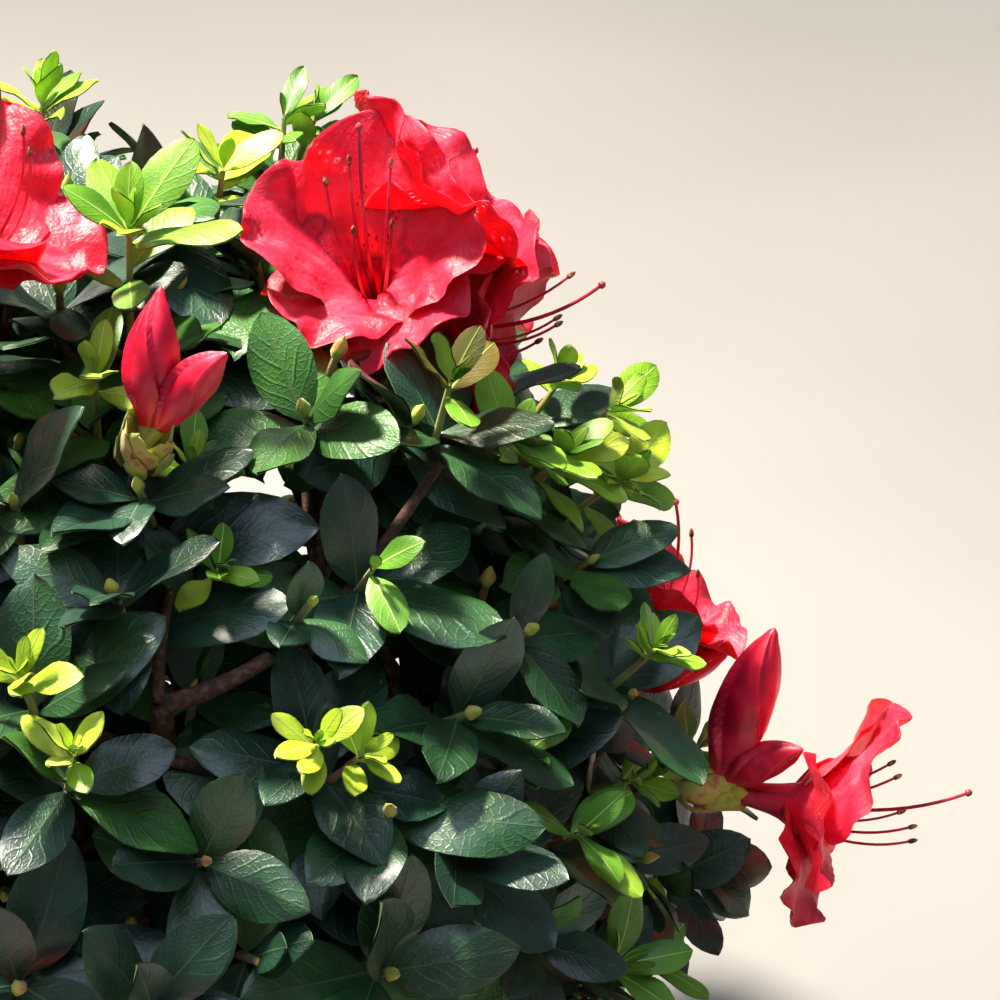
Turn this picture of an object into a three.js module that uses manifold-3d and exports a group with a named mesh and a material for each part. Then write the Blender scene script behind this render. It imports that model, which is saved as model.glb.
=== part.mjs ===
// A low evergreen azalea in bloom, rooted in the ground, as an assembly of separate solids.
// Millimetres, +Z up. The origin is at the flat cut under the main stem, at ground level.
// The short main stem forks into boughs, one for each mass of foliage. A mass is the twigs that
// branch from one stem, with a whorl of leaves at the end of each. Flowering twigs carry the blooms
// and the closed buds, and each starts at the end of a twig that a mass holds for it.
import * as THREE from "three";
import { mergeVertices } from "three/addons/utils/BufferGeometryUtils.js";
import Module from "manifold-3d";

const wasm = await Module();
wasm.setup();

const SEED = 7;
const GAP = 0.3; // clear space between two solids that meet
const WELD = 0.001;
const UP = new THREE.Vector3(0, 0, 1);

// The crown is a mound: its widest level, its radius there, and its rise and drop from it.
const CROWN_LEVEL = 160;
const CROWN_RADIUS = 172;
const CROWN_RISE = 172;
const CROWN_DROP = 130;
const CROWN_CENTRE = new THREE.Vector3(0, 0, CROWN_LEVEL);

// The main stem, from the flat cut to its rounded top.
const STEM_HEIGHT = 60;
const STEM_PROFILE = [[0, 0], [15, 0], [12, 4], [9.8, 14], [8.8, 32], [8.4, 50], [6, 58], [0, STEM_HEIGHT]];
const STEM_SIDES = 15;
const STEM_LEAN = 3; // how far its top stands off to one side
const ROOT_RIDGES = 5;
const RIDGE_HEIGHT = 0.16; // share of the radius, at ground level
const RIDGE_REACH = 22; // the ridges fade out at this height

// Masses of foliage in tiers round the crown: how many, their elevation seen from the crown's
// centre, the first one's azimuth, and where and how thick their boughs leave the main stem.
const TIERS = [
  { name: "top", count: 1, elevation: 90, azimuth: 0, fork: 50, radius: 4.6 },
  { name: "upper", count: 5, elevation: 38, azimuth: 30, fork: 44, radius: 4.2 },
  { name: "lower", count: 6, elevation: -10, azimuth: 0, fork: 26, radius: 3.9 },
];
const BOUGH_REACH = 0.5; // share of the way from the crown's centre to its surface
const BOUGH_SIDES = 6;
const BOUGH_STEPS = 4;
const BOUGH_TIP_RADIUS = 2.6;

// Shoots are spread evenly over the crown by the golden angle.
const SHOOTS = 108;
const GOLDEN_ANGLE = 137.508;
const LOWEST_ELEVATION = -56;
const SHOOT_REACH = [0.84, 0.95];
const HUB_REACH = 0.7; // where a mass's stem ends
const TWIG_RADIUS = 2.2; // of three-sided twigs, at their corners
const TWIG_ROOT = 0.42; // share of that radius where one twig starts inside another
const TWIG_SIDES = 3;
const STEM_SIDES_IN_MASS = 4;
const STEM_STEPS = 2; // of a mass's stem, and of a twig that holds a flowering twig
const SHOOT_LENGTH = 13; // the last stretch of a twig, which carries its leaves and ends in a bud
const FORK_SPACING = 14; // twigs can branch from older ones at this spacing

const LEAVES_IN_WHORL = 4;
const LEAF_LENGTH = 50; // larger than life, so that fewer leaves fill the crown
const LEAF_WIDTH = 26;
const LEAF_THICKNESS = 1.2; // at its foot
const LEAF_FOLD = 3; // how far its two sides stand up from its midrib
const LEAF_ROOT = 0.3; // how far a leaf's base runs on past its twig's middle
const LEAF_SPACING = 1.3; // along the shoot
const WIDEST_AT = 0.56; // share of the length
const LEAF_TILTS = [66, 52, 38, 24]; // degrees from the twig: the open one first, then folded up to fit
const LEAF_TURNS = [0, 24, -24]; // degrees round the twig that a leaf may turn to find room
const CLEARANCE = 1; // left round a leaf or twig beside limbs and blooms
const LOWEST_LEAF = 12;

// A bloom is a funnel with five lobes. A closed bud is a spindle.
const BLOOM_DEPTH = 38;
const BLOOM_RADIUS = 36;
const LOBES = 5;
const STEPS_IN_LOBE = 3;
const FUNNEL = [[0, 0], [6.2, 15], [20, 25.5], [BLOOM_RADIUS, BLOOM_DEPTH], [0, 14]];
const NOTCH = 0.66; // the rim's radius between two lobes, as a share of the lobes' own
const RUFFLE = 3;
const PISTIL_LENGTH = 66;
const PISTIL_SPREAD = 14; // how far it bends off the bloom's axis
const PISTIL_RADIUS = 0.9;
const SPINDLE = [[0, 0], [7.4, 13], [6.2, 23], [0, 36]];
const SPINDLE_SIDES = 5;
const SCALES = [[0, 0], [6.4, 7], [5.4, 13], [0, 17]]; // the cup of bud scales under the blooms
const SCALE_SIDES = 6;
const BLOOM_OFFSET = 4; // the blooms and buds of one twig start this far out from the heart of the cup
const PEDUNCLE_LENGTH = 13;
const PEDUNCLE_RADIUS = 1.9;
const PEDUNCLE_SIDES = 4;

// Flowering twigs: where each starts on the crown (azimuth 0 faces the viewer, 90 the viewer's
// right), and the azimuth and elevation in which each of its blooms and buds faces.
const SHOWN_TRUSSES = [
  {
    azimuth: 94, elevation: 55.5, reach: 0.85,
    blooms: [
      { azimuth: -8, elevation: 57 },
      { azimuth: 120, elevation: 64 },
      { azimuth: 80, elevation: 4 },
    ],
    buds: [],
  },
  {
    azimuth: -17, elevation: 72, reach: 0.89,
    blooms: [{ azimuth: 80, elevation: 62 }],
    buds: [],
  },
  {
    azimuth: 24, elevation: 57, reach: 0.94,
    blooms: [],
    buds: [{ azimuth: 146, elevation: 74, length: 36 }, { azimuth: 78, elevation: 49, length: 27 }],
  },
  {
    azimuth: 96, elevation: 6, reach: 0.82,
    blooms: [{ azimuth: 98, elevation: 62 }],
    buds: [{ azimuth: 82, elevation: 24, length: 28 }],
  },
  {
    azimuth: 84, elevation: 2, reach: 0.96,
    blooms: [{ azimuth: 84, elevation: -5 }],
    buds: [{ azimuth: 108, elevation: 71, length: 38 }, { azimuth: 70, elevation: 31, length: 25 }],
  },
];
// The rest of the crown carries more of them, spaced round it by a rule.
const MORE_ELEVATIONS = [20, 4, 54, 26, 52, 4, 35, -14];
const MORE_FROM_AZIMUTH = 146;
const MORE_STEP = 32;

const radians = THREE.MathUtils.degToRad;

// The seeded rule: a number from 0 to 1 that is always the same for the same key.
function chance(key) {
  const wave = Math.sin(key * 12.9898 + SEED * 78.233) * 43758.5453;
  return wave - Math.floor(wave);
}

function between(low, high, key) {
  return low + (high - low) * chance(key);
}

function direction(azimuth, elevation) {
  const level = Math.cos(radians(elevation));
  return new THREE.Vector3(
    level * Math.sin(radians(azimuth)),
    -level * Math.cos(radians(azimuth)),
    Math.sin(radians(elevation)),
  );
}

// A direction tilted off another one, to a side given by a turn round it.
function tilted(facing, tilt, turn) {
  const across = new THREE.Vector3().crossVectors(facing, UP);
  const aside = across.lengthSq() > 1e-6 ? across.normalize() : new THREE.Vector3(1, 0, 0);
  const outward = aside.applyAxisAngle(facing, radians(turn));
  return facing.clone()
    .multiplyScalar(Math.cos(radians(tilt)))
    .addScaledVector(outward, Math.sin(radians(tilt)));
}

// A point of the crown: reach 1 is its surface, 0 its centre.
function crownPoint(azimuth, elevation, reach) {
  const d = direction(azimuth, elevation);
  const vertical = d.z > 0 ? CROWN_RISE : CROWN_DROP;
  return new THREE.Vector3(d.x * CROWN_RADIUS, d.y * CROWN_RADIUS, d.z * vertical)
    .multiplyScalar(reach)
    .add(CROWN_CENTRE);
}

// A closed geometry as a solid that can be joined and cut.
function solidOf(geometry, weld = 1e-4) {
  const bare = geometry.clone();
  bare.deleteAttribute("normal");
  bare.deleteAttribute("uv");
  const merged = mergeVertices(bare, weld);
  return new wasm.Manifold(
    new wasm.Mesh({
      numProp: 3,
      vertProperties: new Float32Array(merged.attributes.position.array),
      triVerts: new Uint32Array(merged.index.array),
    }),
  );
}

function geometryOf(solid) {
  const mesh = solid.getMesh();
  const geometry = new THREE.BufferGeometry();
  geometry.setAttribute("position", new THREE.BufferAttribute(new Float32Array(mesh.vertProperties), 3));
  geometry.setIndex(new THREE.BufferAttribute(new Uint32Array(mesh.triVerts), 1));
  return geometry;
}

// Merges corners that lie closer than a weld's width, and drops the flat scraps that this frees.
function cleaned(solid) {
  const bodies = solidOf(geometryOf(solid), WELD).decompose();
  return bodies.reduce((best, body) => (body.volume() > best.volume() ? body : best));
}

function joined(solids) {
  return solids.reduce((whole, piece) => whole.add(piece));
}

function moveVertices(geometry, rule) {
  const position = geometry.attributes.position;
  const vertex = new THREE.Vector3();
  for (let i = 0; i < position.count; i++) {
    vertex.fromBufferAttribute(position, i);
    rule(vertex);
    position.setXYZ(i, vertex.x, vertex.y, vertex.z);
  }
  return geometry;
}

// A tapering limb: a cylinder whose rings are carried onto a curve. Swell makes a fatter copy.
function limb(curve, startRadius, endRadius, sides, steps, swell = 0) {
  const frames = curve.computeFrenetFrames(steps);
  return moveVertices(new THREE.CylinderGeometry(1, 1, 1, sides, steps), (v) => {
    const along = v.y + 0.5;
    const step = Math.round(along * steps);
    const radius = startRadius + (endRadius - startRadius) * along + swell;
    const middle = curve.getPointAt(step / steps);
    const { x, z } = v;
    v.copy(middle)
      .addScaledVector(frames.normals[step], x * radius)
      .addScaledVector(frames.binormals[step], -z * radius);
  });
}

// The middles of a limb's rings after its first, where other limbs can branch from it.
function ringPoints(curve, steps) {
  return Array.from({ length: steps }, (_, i) => curve.getPointAt((i + 1) / steps));
}

// A shoot: from its fork to its shoulder, where its leaves start, and on to a point.
function shootLimb({ fork, shoulder, tip }, swell = 0) {
  const run = tip.clone().sub(fork).normalize();
  const rings = [
    { middle: fork, radius: TWIG_RADIUS * TWIG_ROOT + swell },
    { middle: shoulder, radius: TWIG_RADIUS * 0.9 + swell },
    { middle: tip.clone().addScaledVector(run, swell), radius: 0 },
  ];
  const first = tilted(run, 90, 0);
  const second = first.clone().cross(run);
  return moveVertices(new THREE.CylinderGeometry(0, 1, 1, TWIG_SIDES, rings.length - 1), (v) => {
    const { middle, radius } = rings[Math.round((v.y + 0.5) * (rings.length - 1))];
    const angle = Math.atan2(v.x, v.z);
    const out = Math.hypot(v.x, v.z) > 1e-6 ? radius : 0;
    v.copy(middle)
      .addScaledVector(first, Math.sin(angle) * out)
      .addScaledVector(second, Math.cos(angle) * out);
  });
}

// Stands a geometry made along +Y at a point, turned to face along a direction.
function standAt(geometry, point, facing, roll = 0) {
  const turn = new THREE.Quaternion().setFromUnitVectors(new THREE.Vector3(0, 1, 0), facing);
  const spin = new THREE.Quaternion().setFromAxisAngle(new THREE.Vector3(0, 1, 0), roll);
  return geometry.applyQuaternion(turn.multiply(spin)).translate(point.x, point.y, point.z);
}

function lathe(profile, sides) {
  return new THREE.LatheGeometry(profile.map(([r, y]) => new THREE.Vector2(r, y)), sides);
}

// Main stem
function stemAxis(height) {
  const rise = height / STEM_HEIGHT;
  return new THREE.Vector3(STEM_LEAN * rise * rise, 0, height);
}

function mainStem(swell = 0) {
  const geometry = lathe(STEM_PROFILE, STEM_SIDES);
  return moveVertices(geometry, (v) => {
    const height = v.y;
    const radius = Math.hypot(v.x, v.z);
    const angle = Math.atan2(v.x, v.z);
    const fade = Math.max(0, 1 - height / RIDGE_REACH);
    const ridge = 1 + RIDGE_HEIGHT * fade * Math.cos(ROOT_RIDGES * angle);
    const grown = radius > 0.01 ? radius * ridge + swell : 0;
    const middle = stemAxis(height);
    const top = radius < 0.01 && height > 1 ? swell : 0;
    v.set(middle.x + grown * Math.sin(angle), middle.y - grown * Math.cos(angle), height + top);
  });
}

// Masses and their boughs
function placeMasses() {
  const masses = [];
  for (const tier of TIERS) {
    for (let i = 0; i < tier.count; i++) {
      const azimuth = tier.azimuth + (360 / tier.count) * i;
      masses.push({
        name: tier.count > 1 ? `${tier.name}_${i + 1}` : tier.name,
        tier,
        azimuth,
        axis: direction(azimuth, tier.elevation),
        boughTip: crownPoint(azimuth, tier.elevation, BOUGH_REACH),
        hub: crownPoint(azimuth, tier.elevation, HUB_REACH),
      });
    }
  }
  return masses;
}

// A bough leaves the stem's axis, swings out under its mass and turns into the mass at its tip.
function boughCurve(mass) {
  const start = stemAxis(mass.tier.fork);
  const rise = mass.boughTip.z - start.z;
  const swing = 0.42;
  const bend = new THREE.Vector3(
    start.x + (mass.boughTip.x - start.x) * swing,
    start.y + (mass.boughTip.y - start.y) * swing,
    start.z + rise * 0.58,
  );
  return new THREE.QuadraticBezierCurve3(start, bend, mass.boughTip);
}

// A mass keeps to its cell: the space nearer to its own axis than to any other mass's.
function insideCell(point, mass, masses, margin) {
  const offset = point.clone().sub(CROWN_CENTRE);
  return masses.every((other) => {
    if (other === mass) return true;
    const border = mass.axis.clone().sub(other.axis).normalize();
    return offset.dot(border) >= margin;
  });
}

function cellOf(facing, masses) {
  return masses.reduce((best, mass) => (mass.axis.dot(facing) > best.axis.dot(facing) ? mass : best));
}

// Flowering twigs
function placeTrusses() {
  const faced = (part) => ({ ...part, facing: direction(part.azimuth, part.elevation) });
  const trusses = SHOWN_TRUSSES.map((truss) => ({
    ...truss,
    blooms: truss.blooms.map(faced),
    buds: truss.buds.map(faced),
  }));
  MORE_ELEVATIONS.forEach((elevation, i) => {
    const azimuth = MORE_FROM_AZIMUTH + MORE_STEP * i;
    const axis = direction(azimuth, elevation).addScaledVector(UP, 0.25).normalize();
    const turn = 360 * chance(500 + i);
    const blooms = [{ facing: tilted(axis, 20, turn) }];
    if (i % 3 === 1) blooms.push({ facing: tilted(axis, 62, turn + 140) });
    const bud = { facing: tilted(axis, 42, turn + 215), length: between(26, 36, 520 + i) };
    const buds = i % 2 === 0 ? [bud] : [];
    trusses.push({ azimuth, elevation, reach: 0.9, blooms, buds });
  });
  trusses.forEach((truss, i) => {
    truss.name = `flowering_twig_${i + 1}`;
    truss.facing = direction(truss.azimuth, truss.elevation);
    truss.foot = crownPoint(truss.azimuth, truss.elevation, truss.reach)
      .addScaledVector(truss.facing, -PEDUNCLE_LENGTH);
  });
  return trusses;
}

// The pistil, from deep in the throat, bending off towards its tip.
function pistil() {
  const start = new THREE.Vector3(0, FUNNEL[FUNNEL.length - 1][1] - 2, 0);
  const bend = new THREE.Vector3(0, PISTIL_LENGTH * 0.6, 0);
  const end = new THREE.Vector3(PISTIL_SPREAD, PISTIL_LENGTH, 0);
  return limb(new THREE.QuadraticBezierCurve3(start, bend, end), PISTIL_RADIUS, PISTIL_RADIUS, 3, 2);
}

function bloom() {
  const funnel = moveVertices(lathe(FUNNEL, LOBES * STEPS_IN_LOBE), (v) => {
    const radius = Math.hypot(v.x, v.z);
    const step = Math.round((Math.atan2(v.x, v.z) / (2 * Math.PI)) * LOBES * STEPS_IN_LOBE);
    const place = ((step % STEPS_IN_LOBE) + STEPS_IN_LOBE) % STEPS_IN_LOBE;
    const flare = THREE.MathUtils.clamp((radius - 10) / (BLOOM_RADIUS - 10), 0, 1);
    const share = place === 0 ? 1 - (1 - NOTCH) * flare : 1;
    v.x *= share;
    v.z *= share;
    v.y += flare * RUFFLE * (place === 1 ? 1 : -0.4);
  });
  return joined([solidOf(funnel), solidOf(pistil())]);
}

function closedBud(length) {
  const stretch = length / SPINDLE[SPINDLE.length - 1][1];
  return solidOf(lathe(SPINDLE.map(([r, y]) => [r, y * stretch]), SPINDLE_SIDES));
}

function placed(solid, point, facing) {
  return solidOf(standAt(geometryOf(solid), point, facing));
}

function floweringTwig(truss) {
  const cupBase = truss.foot.clone().addScaledVector(truss.facing, PEDUNCLE_LENGTH - 2);
  const stalkEnd = cupBase.clone().addScaledVector(truss.facing, 4);
  const stalkLine = new THREE.LineCurve3(truss.foot, stalkEnd);
  const stalk = limb(stalkLine, PEDUNCLE_RADIUS, PEDUNCLE_RADIUS, PEDUNCLE_SIDES, 1);
  const cup = standAt(lathe(SCALES, SCALE_SIDES), cupBase, truss.facing);
  const pieces = [solidOf(stalk), solidOf(cup)];
  const heart = cupBase.clone().addScaledVector(truss.facing, 7);
  const outFrom = (facing) => heart.clone().addScaledVector(facing, BLOOM_OFFSET);
  for (const { facing } of truss.blooms) {
    pieces.push(placed(bloom(), outFrom(facing), facing));
  }
  for (const { facing, length } of truss.buds) {
    pieces.push(placed(closedBud(length), outFrom(facing), facing));
  }
  return joined(pieces);
}

// Foliage: a six-faced leaf, thick at its foot, widest past its middle and folded along its midrib.
// Its poles are the two side corners, and its three other corners are its tip and its foot's two.
function leaf(pose, swell = 0) {
  const { root, along, face, size } = pose;
  const side = along.clone().cross(face);
  const length = LEAF_LENGTH * size + swell;
  const halfWidth = (LEAF_WIDTH * size) / 2 + swell;
  const halfThickness = LEAF_THICKNESS / 2 + swell;
  return moveVertices(lathe([[0, -1], [1, 0], [0, 1]], 3), (v) => {
    const isSide = Math.abs(v.y) > 0.5;
    const isTip = v.z > 0.5;
    const endReach = isTip ? length : -LEAF_ROOT;
    const reach = isSide ? WIDEST_AT * length : endReach;
    const across = v.y * halfWidth;
    const lift = isSide ? LEAF_FOLD : Math.sign(Math.round(v.x)) * halfThickness;
    v.copy(root).addScaledVector(along, reach).addScaledVector(side, across).addScaledVector(face, lift);
  });
}

function leafPose(shoot, number, tilt, turn) {
  const spin = GOLDEN_ANGLE * number + 360 * chance(shoot.key) + turn;
  const along = tilted(shoot.facing, tilt, spin);
  const face = shoot.facing.clone().addScaledVector(along, -shoot.facing.dot(along)).normalize();
  const size = between(0.74, 1.06, shoot.key + 7 * number);
  const root = shoot.shoulder.clone().addScaledVector(shoot.facing, number * LEAF_SPACING);
  return { root, along, face, size };
}

// The poses that a leaf tries in turn, from wide open to folded up along its twig.
function leafPoses(shoot, number) {
  return LEAF_TILTS.flatMap((tilt) => LEAF_TURNS.map((turn) => leafPose(shoot, number, tilt, turn)));
}

// The corners of a leaf that have to stay in its mass's cell.
function leafPoints(pose) {
  const side = pose.along.clone().cross(pose.face);
  const length = LEAF_LENGTH * pose.size;
  const half = (LEAF_WIDTH * pose.size) / 2;
  const middle = pose.root.clone().addScaledVector(pose.along, length * WIDEST_AT);
  return [
    pose.root.clone().addScaledVector(pose.along, length),
    middle.clone().addScaledVector(side, half).addScaledVector(pose.face, LEAF_FOLD),
    middle.clone().addScaledVector(side, -half).addScaledVector(pose.face, LEAF_FOLD),
  ];
}

function placeShoots(masses) {
  const shoots = [];
  const lowest = Math.sin(radians(LOWEST_ELEVATION));
  for (let i = 0; i < SHOOTS; i++) {
    const height = 1 - (1 - lowest) * ((i + 0.5) / SHOOTS);
    const elevation = THREE.MathUtils.radToDeg(Math.asin(height));
    const azimuth = GOLDEN_ANGLE * i + between(-5, 5, i);
    const outward = direction(azimuth, elevation);
    const reach = between(SHOOT_REACH[0], SHOOT_REACH[1], 200 + i);
    const facing = outward.clone().multiplyScalar(0.75).addScaledVector(UP, 0.42).normalize();
    const tip = crownPoint(azimuth, elevation, reach);
    const shoulder = tip.clone().addScaledVector(facing, -SHOOT_LENGTH);
    shoots.push({ key: i + 1, mass: cellOf(outward, masses), tip, shoulder, facing });
  }
  return shoots;
}

// A twig branches from the nearest free place on the mass's tree that lies further in, and takes it.
function takeFork(end, forks) {
  const depth = end.distanceTo(CROWN_CENTRE);
  const inner = forks.filter((fork) => fork.distanceTo(CROWN_CENTRE) < depth - 6);
  const open = inner.length > 0 ? inner : forks;
  const fork = open.reduce((best, place) => (place.distanceTo(end) < best.distanceTo(end) ? place : best));
  if (forks.length > 1) forks.splice(forks.indexOf(fork), 1);
  return fork;
}

function forksAlong(start, end) {
  const count = Math.floor(start.distanceTo(end) / FORK_SPACING);
  return Array.from({ length: count }, (_, i) => start.clone().lerp(end, (i + 1) / (count + 0.5)));
}

function overlaps(solid, obstacles) {
  return obstacles.some((obstacle) => solid.intersect(obstacle).volume() > 0);
}

// The stem of a mass, from its start just clear of the bough's tip to the heart of the mass.
function stemCurve(mass) {
  const start = mass.boughTip.clone().addScaledVector(mass.entry, GAP);
  const bend = mass.boughTip.clone().addScaledVector(mass.entry, 0.5 * mass.boughTip.distanceTo(mass.hub));
  return new THREE.QuadraticBezierCurve3(start, bend, mass.hub);
}

// The twig that holds a flowering twig ends in line with it, just clear of its foot.
function holderCurve(truss, forks) {
  const tip = truss.foot.clone().addScaledVector(truss.facing, -GAP);
  const fork = takeFork(tip, forks);
  const bend = tip.clone().addScaledVector(truss.facing, -0.45 * fork.distanceTo(tip));
  return new THREE.QuadraticBezierCurve3(fork, bend, tip);
}

// A mass of foliage: its stem, the twigs that branch from it, and their leaves. A twig or a leaf that
// would leave the mass's cell, or touch a limb, a bloom or another leaf, is turned, folded up or left out.
function growMass(mass, masses, shoots, trusses, obstacles) {
  const stem = stemCurve(mass);
  const pieces = [solidOf(limb(stem, BOUGH_TIP_RADIUS, TWIG_RADIUS, STEM_SIDES_IN_MASS, STEM_STEPS))];
  const forks = ringPoints(stem, STEM_STEPS);
  for (const truss of trusses.filter((other) => cellOf(other.facing, masses) === mass)) {
    const curve = holderCurve(truss, forks);
    pieces.push(solidOf(limb(curve, TWIG_RADIUS * TWIG_ROOT, PEDUNCLE_RADIUS, PEDUNCLE_SIDES, STEM_STEPS)));
    forks.push(...ringPoints(curve, STEM_STEPS).slice(0, -1));
  }

  const fits = (points, swollen) =>
    points.every((point) => insideCell(point, mass, masses, CLEARANCE) && point.z > LOWEST_LEAF)
    && !overlaps(swollen, obstacles);
  const own = shoots.filter((shoot) => shoot.mass === mass)
    .sort((a, b) => a.tip.distanceTo(mass.hub) - b.tip.distanceTo(mass.hub));
  const grown = [];
  for (const shoot of own) {
    const path = { ...shoot, fork: takeFork(shoot.shoulder, forks) };
    const middle = path.fork.clone().lerp(path.shoulder, 0.5);
    if (!fits([middle, path.shoulder, path.tip], solidOf(shootLimb(path, CLEARANCE)))) continue;
    grown.push({ shoot, solid: solidOf(shootLimb(path)) });
    forks.push(...forksAlong(path.fork, path.shoulder));
  }

  const twigs = grown.map((twig) => twig.solid);
  const leaves = [];
  for (const { shoot, solid } of grown) {
    const others = [...pieces, ...twigs].filter((other) => other !== solid);
    for (let number = 0; number < LEAVES_IN_WHORL; number++) {
      const pose = leafPoses(shoot, number).find((tried) =>
        fits(leafPoints(tried), solidOf(leaf(tried, CLEARANCE)))
        && !overlaps(solidOf(leaf(tried)), [...obstacles, ...others, ...leaves]));
      if (pose) leaves.push(solidOf(leaf(pose)));
    }
  }
  return joined([...pieces, ...twigs, ...leaves]);
}

// Assembly
const bark = new THREE.MeshStandardMaterial({ color: 0x6b4a38, roughness: 0.85, metalness: 0 });
const foliage = new THREE.MeshStandardMaterial({ color: 0x27492f, roughness: 0.45, metalness: 0 });
const petals = new THREE.MeshStandardMaterial({ color: 0xd81e34, roughness: 0.55, metalness: 0 });

const azalea = new THREE.Group();
function addNode(name, geometry, material) {
  geometry.computeVertexNormals();
  const mesh = new THREE.Mesh(geometry, material);
  mesh.name = name;
  azalea.add(mesh);
}

addNode("main_stem", mainStem(), bark);

const masses = placeMasses();
const limbsSoFar = [solidOf(mainStem(GAP))];
const boughSolids = [];
for (const mass of masses) {
  const curve = boughCurve(mass);
  mass.entry = curve.getTangent(1);
  const grow = (swell) =>
    solidOf(limb(curve, mass.tier.radius, BOUGH_TIP_RADIUS, BOUGH_SIDES, BOUGH_STEPS, swell));
  const bough = limbsSoFar.reduce((left, other) => left.subtract(other), grow(0));
  limbsSoFar.push(grow(GAP));
  boughSolids.push(bough);
  addNode(`bough_${mass.name}`, geometryOf(cleaned(bough)), bark);
}

const trusses = placeTrusses();
const trussSolids = trusses.map(floweringTwig);
trusses.forEach((truss, i) => addNode(truss.name, geometryOf(cleaned(trussSolids[i])), petals));

const shoots = placeShoots(masses);
const obstacles = [...boughSolids, ...trussSolids];
for (const mass of masses) {
  const grown = growMass(mass, masses, shoots, trusses, obstacles);
  addNode(`foliage_${mass.name}`, geometryOf(cleaned(grown)), foliage);
}

export default azalea;
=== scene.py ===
# %% [markdown]
# # A red evergreen azalea in bloom
# The shrub comes as a frame of plain solids: a main stem, boughs, masses of foliage and flowering
# twigs. This lesson grows the real plant on that frame with the same rule that made the solids, and
# carries it on to fine twigs, whorls of leaves, ruffled petals and stamens. Sizes are in millimetres
# while a piece is being shaped, and each mesh is scaled to metres when it is made.

# %% Load the frame
import math

import bpy
import numpy as np
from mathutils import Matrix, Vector


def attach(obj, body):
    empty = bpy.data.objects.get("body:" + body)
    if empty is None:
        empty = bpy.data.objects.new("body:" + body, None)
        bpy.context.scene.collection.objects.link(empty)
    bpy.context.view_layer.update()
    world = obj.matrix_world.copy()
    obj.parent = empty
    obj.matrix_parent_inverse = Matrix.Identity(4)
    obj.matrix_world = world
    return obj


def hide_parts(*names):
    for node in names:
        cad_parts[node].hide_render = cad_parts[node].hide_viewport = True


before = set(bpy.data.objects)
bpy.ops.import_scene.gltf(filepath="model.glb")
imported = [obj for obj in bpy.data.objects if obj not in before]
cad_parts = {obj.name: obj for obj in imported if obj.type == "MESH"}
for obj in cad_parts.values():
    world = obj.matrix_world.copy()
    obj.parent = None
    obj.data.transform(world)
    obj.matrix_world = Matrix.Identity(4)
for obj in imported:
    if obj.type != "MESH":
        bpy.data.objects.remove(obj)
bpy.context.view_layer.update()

MM = 0.001

# %% [markdown]
# ## Camera
# The shrub is seen from close by and a little above, so near leaves look larger than far ones. A long
# lens at 0.9 m keeps the perspective of the picture, and the camera tips 28 degrees down. It is placed
# by its target: the crown's centre has to fall low on the left of the picture, so a target is worked out
# from that, and the camera backs away from it along its own view.

# %% Camera
CROWN_CENTRE = np.array([0.0, 0.0, 160.0])
MM_PER_PIXEL = 0.26
PICTURE_SIDE = 1000
VIEW_PITCH = 28
VIEW_DISTANCE = 900
CROWN_PIXEL = (60, 770)

view_right = np.array([1.0, 0.0, 0.0])
view_up = np.array([0.0, math.sin(math.radians(VIEW_PITCH)), math.cos(math.radians(VIEW_PITCH))])
view_ahead = np.array([0.0, math.cos(math.radians(VIEW_PITCH)), -math.sin(math.radians(VIEW_PITCH))])
target = (CROWN_CENTRE + view_right * (PICTURE_SIDE / 2 - CROWN_PIXEL[0]) * MM_PER_PIXEL
          + view_up * (CROWN_PIXEL[1] - PICTURE_SIDE / 2) * MM_PER_PIXEL)
eye = target - view_ahead * VIEW_DISTANCE

camera = bpy.data.objects.new("camera", bpy.data.cameras.new("camera"))
bpy.context.scene.collection.objects.link(camera)
camera.data.lens = camera.data.sensor_width * VIEW_DISTANCE / (PICTURE_SIDE * MM_PER_PIXEL)
camera.location = Vector(eye * MM)
camera.rotation_euler = (math.radians(90 - VIEW_PITCH), 0, 0)
camera.data.clip_start = 0.01
bpy.context.scene.camera = camera
print("camera at", [round(v) for v in eye], "mm, lens", round(camera.data.lens), "mm")

# %% [markdown]
# ## Colour
# Colours are read off as hex values, which hold display brightness. A shader works with light, so one
# function turns each hex value to linear numbers. The standard view keeps reds as vivid as the petals.

# %% Colour
def linear(hex_colour):
    shares = [int(hex_colour[i:i + 2], 16) / 255 for i in (1, 3, 5)]
    return [s / 12.92 if s <= 0.04045 else ((s + 0.055) / 1.055) ** 2.4 for s in shares] + [1.0]


bpy.context.scene.view_settings.view_transform = "Standard"
print("petal red as light:", [round(v, 3) for v in linear("#d81e34")])

# %% [markdown]
# ## Floor and light
# A studio stands in for the garden: a pale floor, a warm light high up and a little behind the shrub on
# its left, where the sun stands in the picture, and a cool sky. The sun light is a small panel, so the
# waxed leaves get crisp sheens and the petals cast clear shadows. The sky panel is ten times as wide and
# weaker, and only softens those shadows, so the inside of the crown stays dark.

# %% Floor and light
floor_mesh = bpy.data.meshes.new("floor")
floor_mesh.from_pydata([(-4, -4, 0), (4, -4, 0), (4, 4, 0), (-4, 4, 0)], [], [(0, 1, 2, 3)])
floor = bpy.data.objects.new("floor", floor_mesh)
bpy.context.scene.collection.objects.link(floor)


def soft_light(name, place, aim, size, watts, colour):
    light = bpy.data.objects.new(name, bpy.data.lights.new(name, "AREA"))
    bpy.context.scene.collection.objects.link(light)
    light.data.size = size
    light.data.energy = watts
    light.data.color = linear(colour)[:3]
    light.location = place
    light.rotation_euler = (Vector(aim) - Vector(place)).to_track_quat("-Z", "Y").to_euler()


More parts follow.
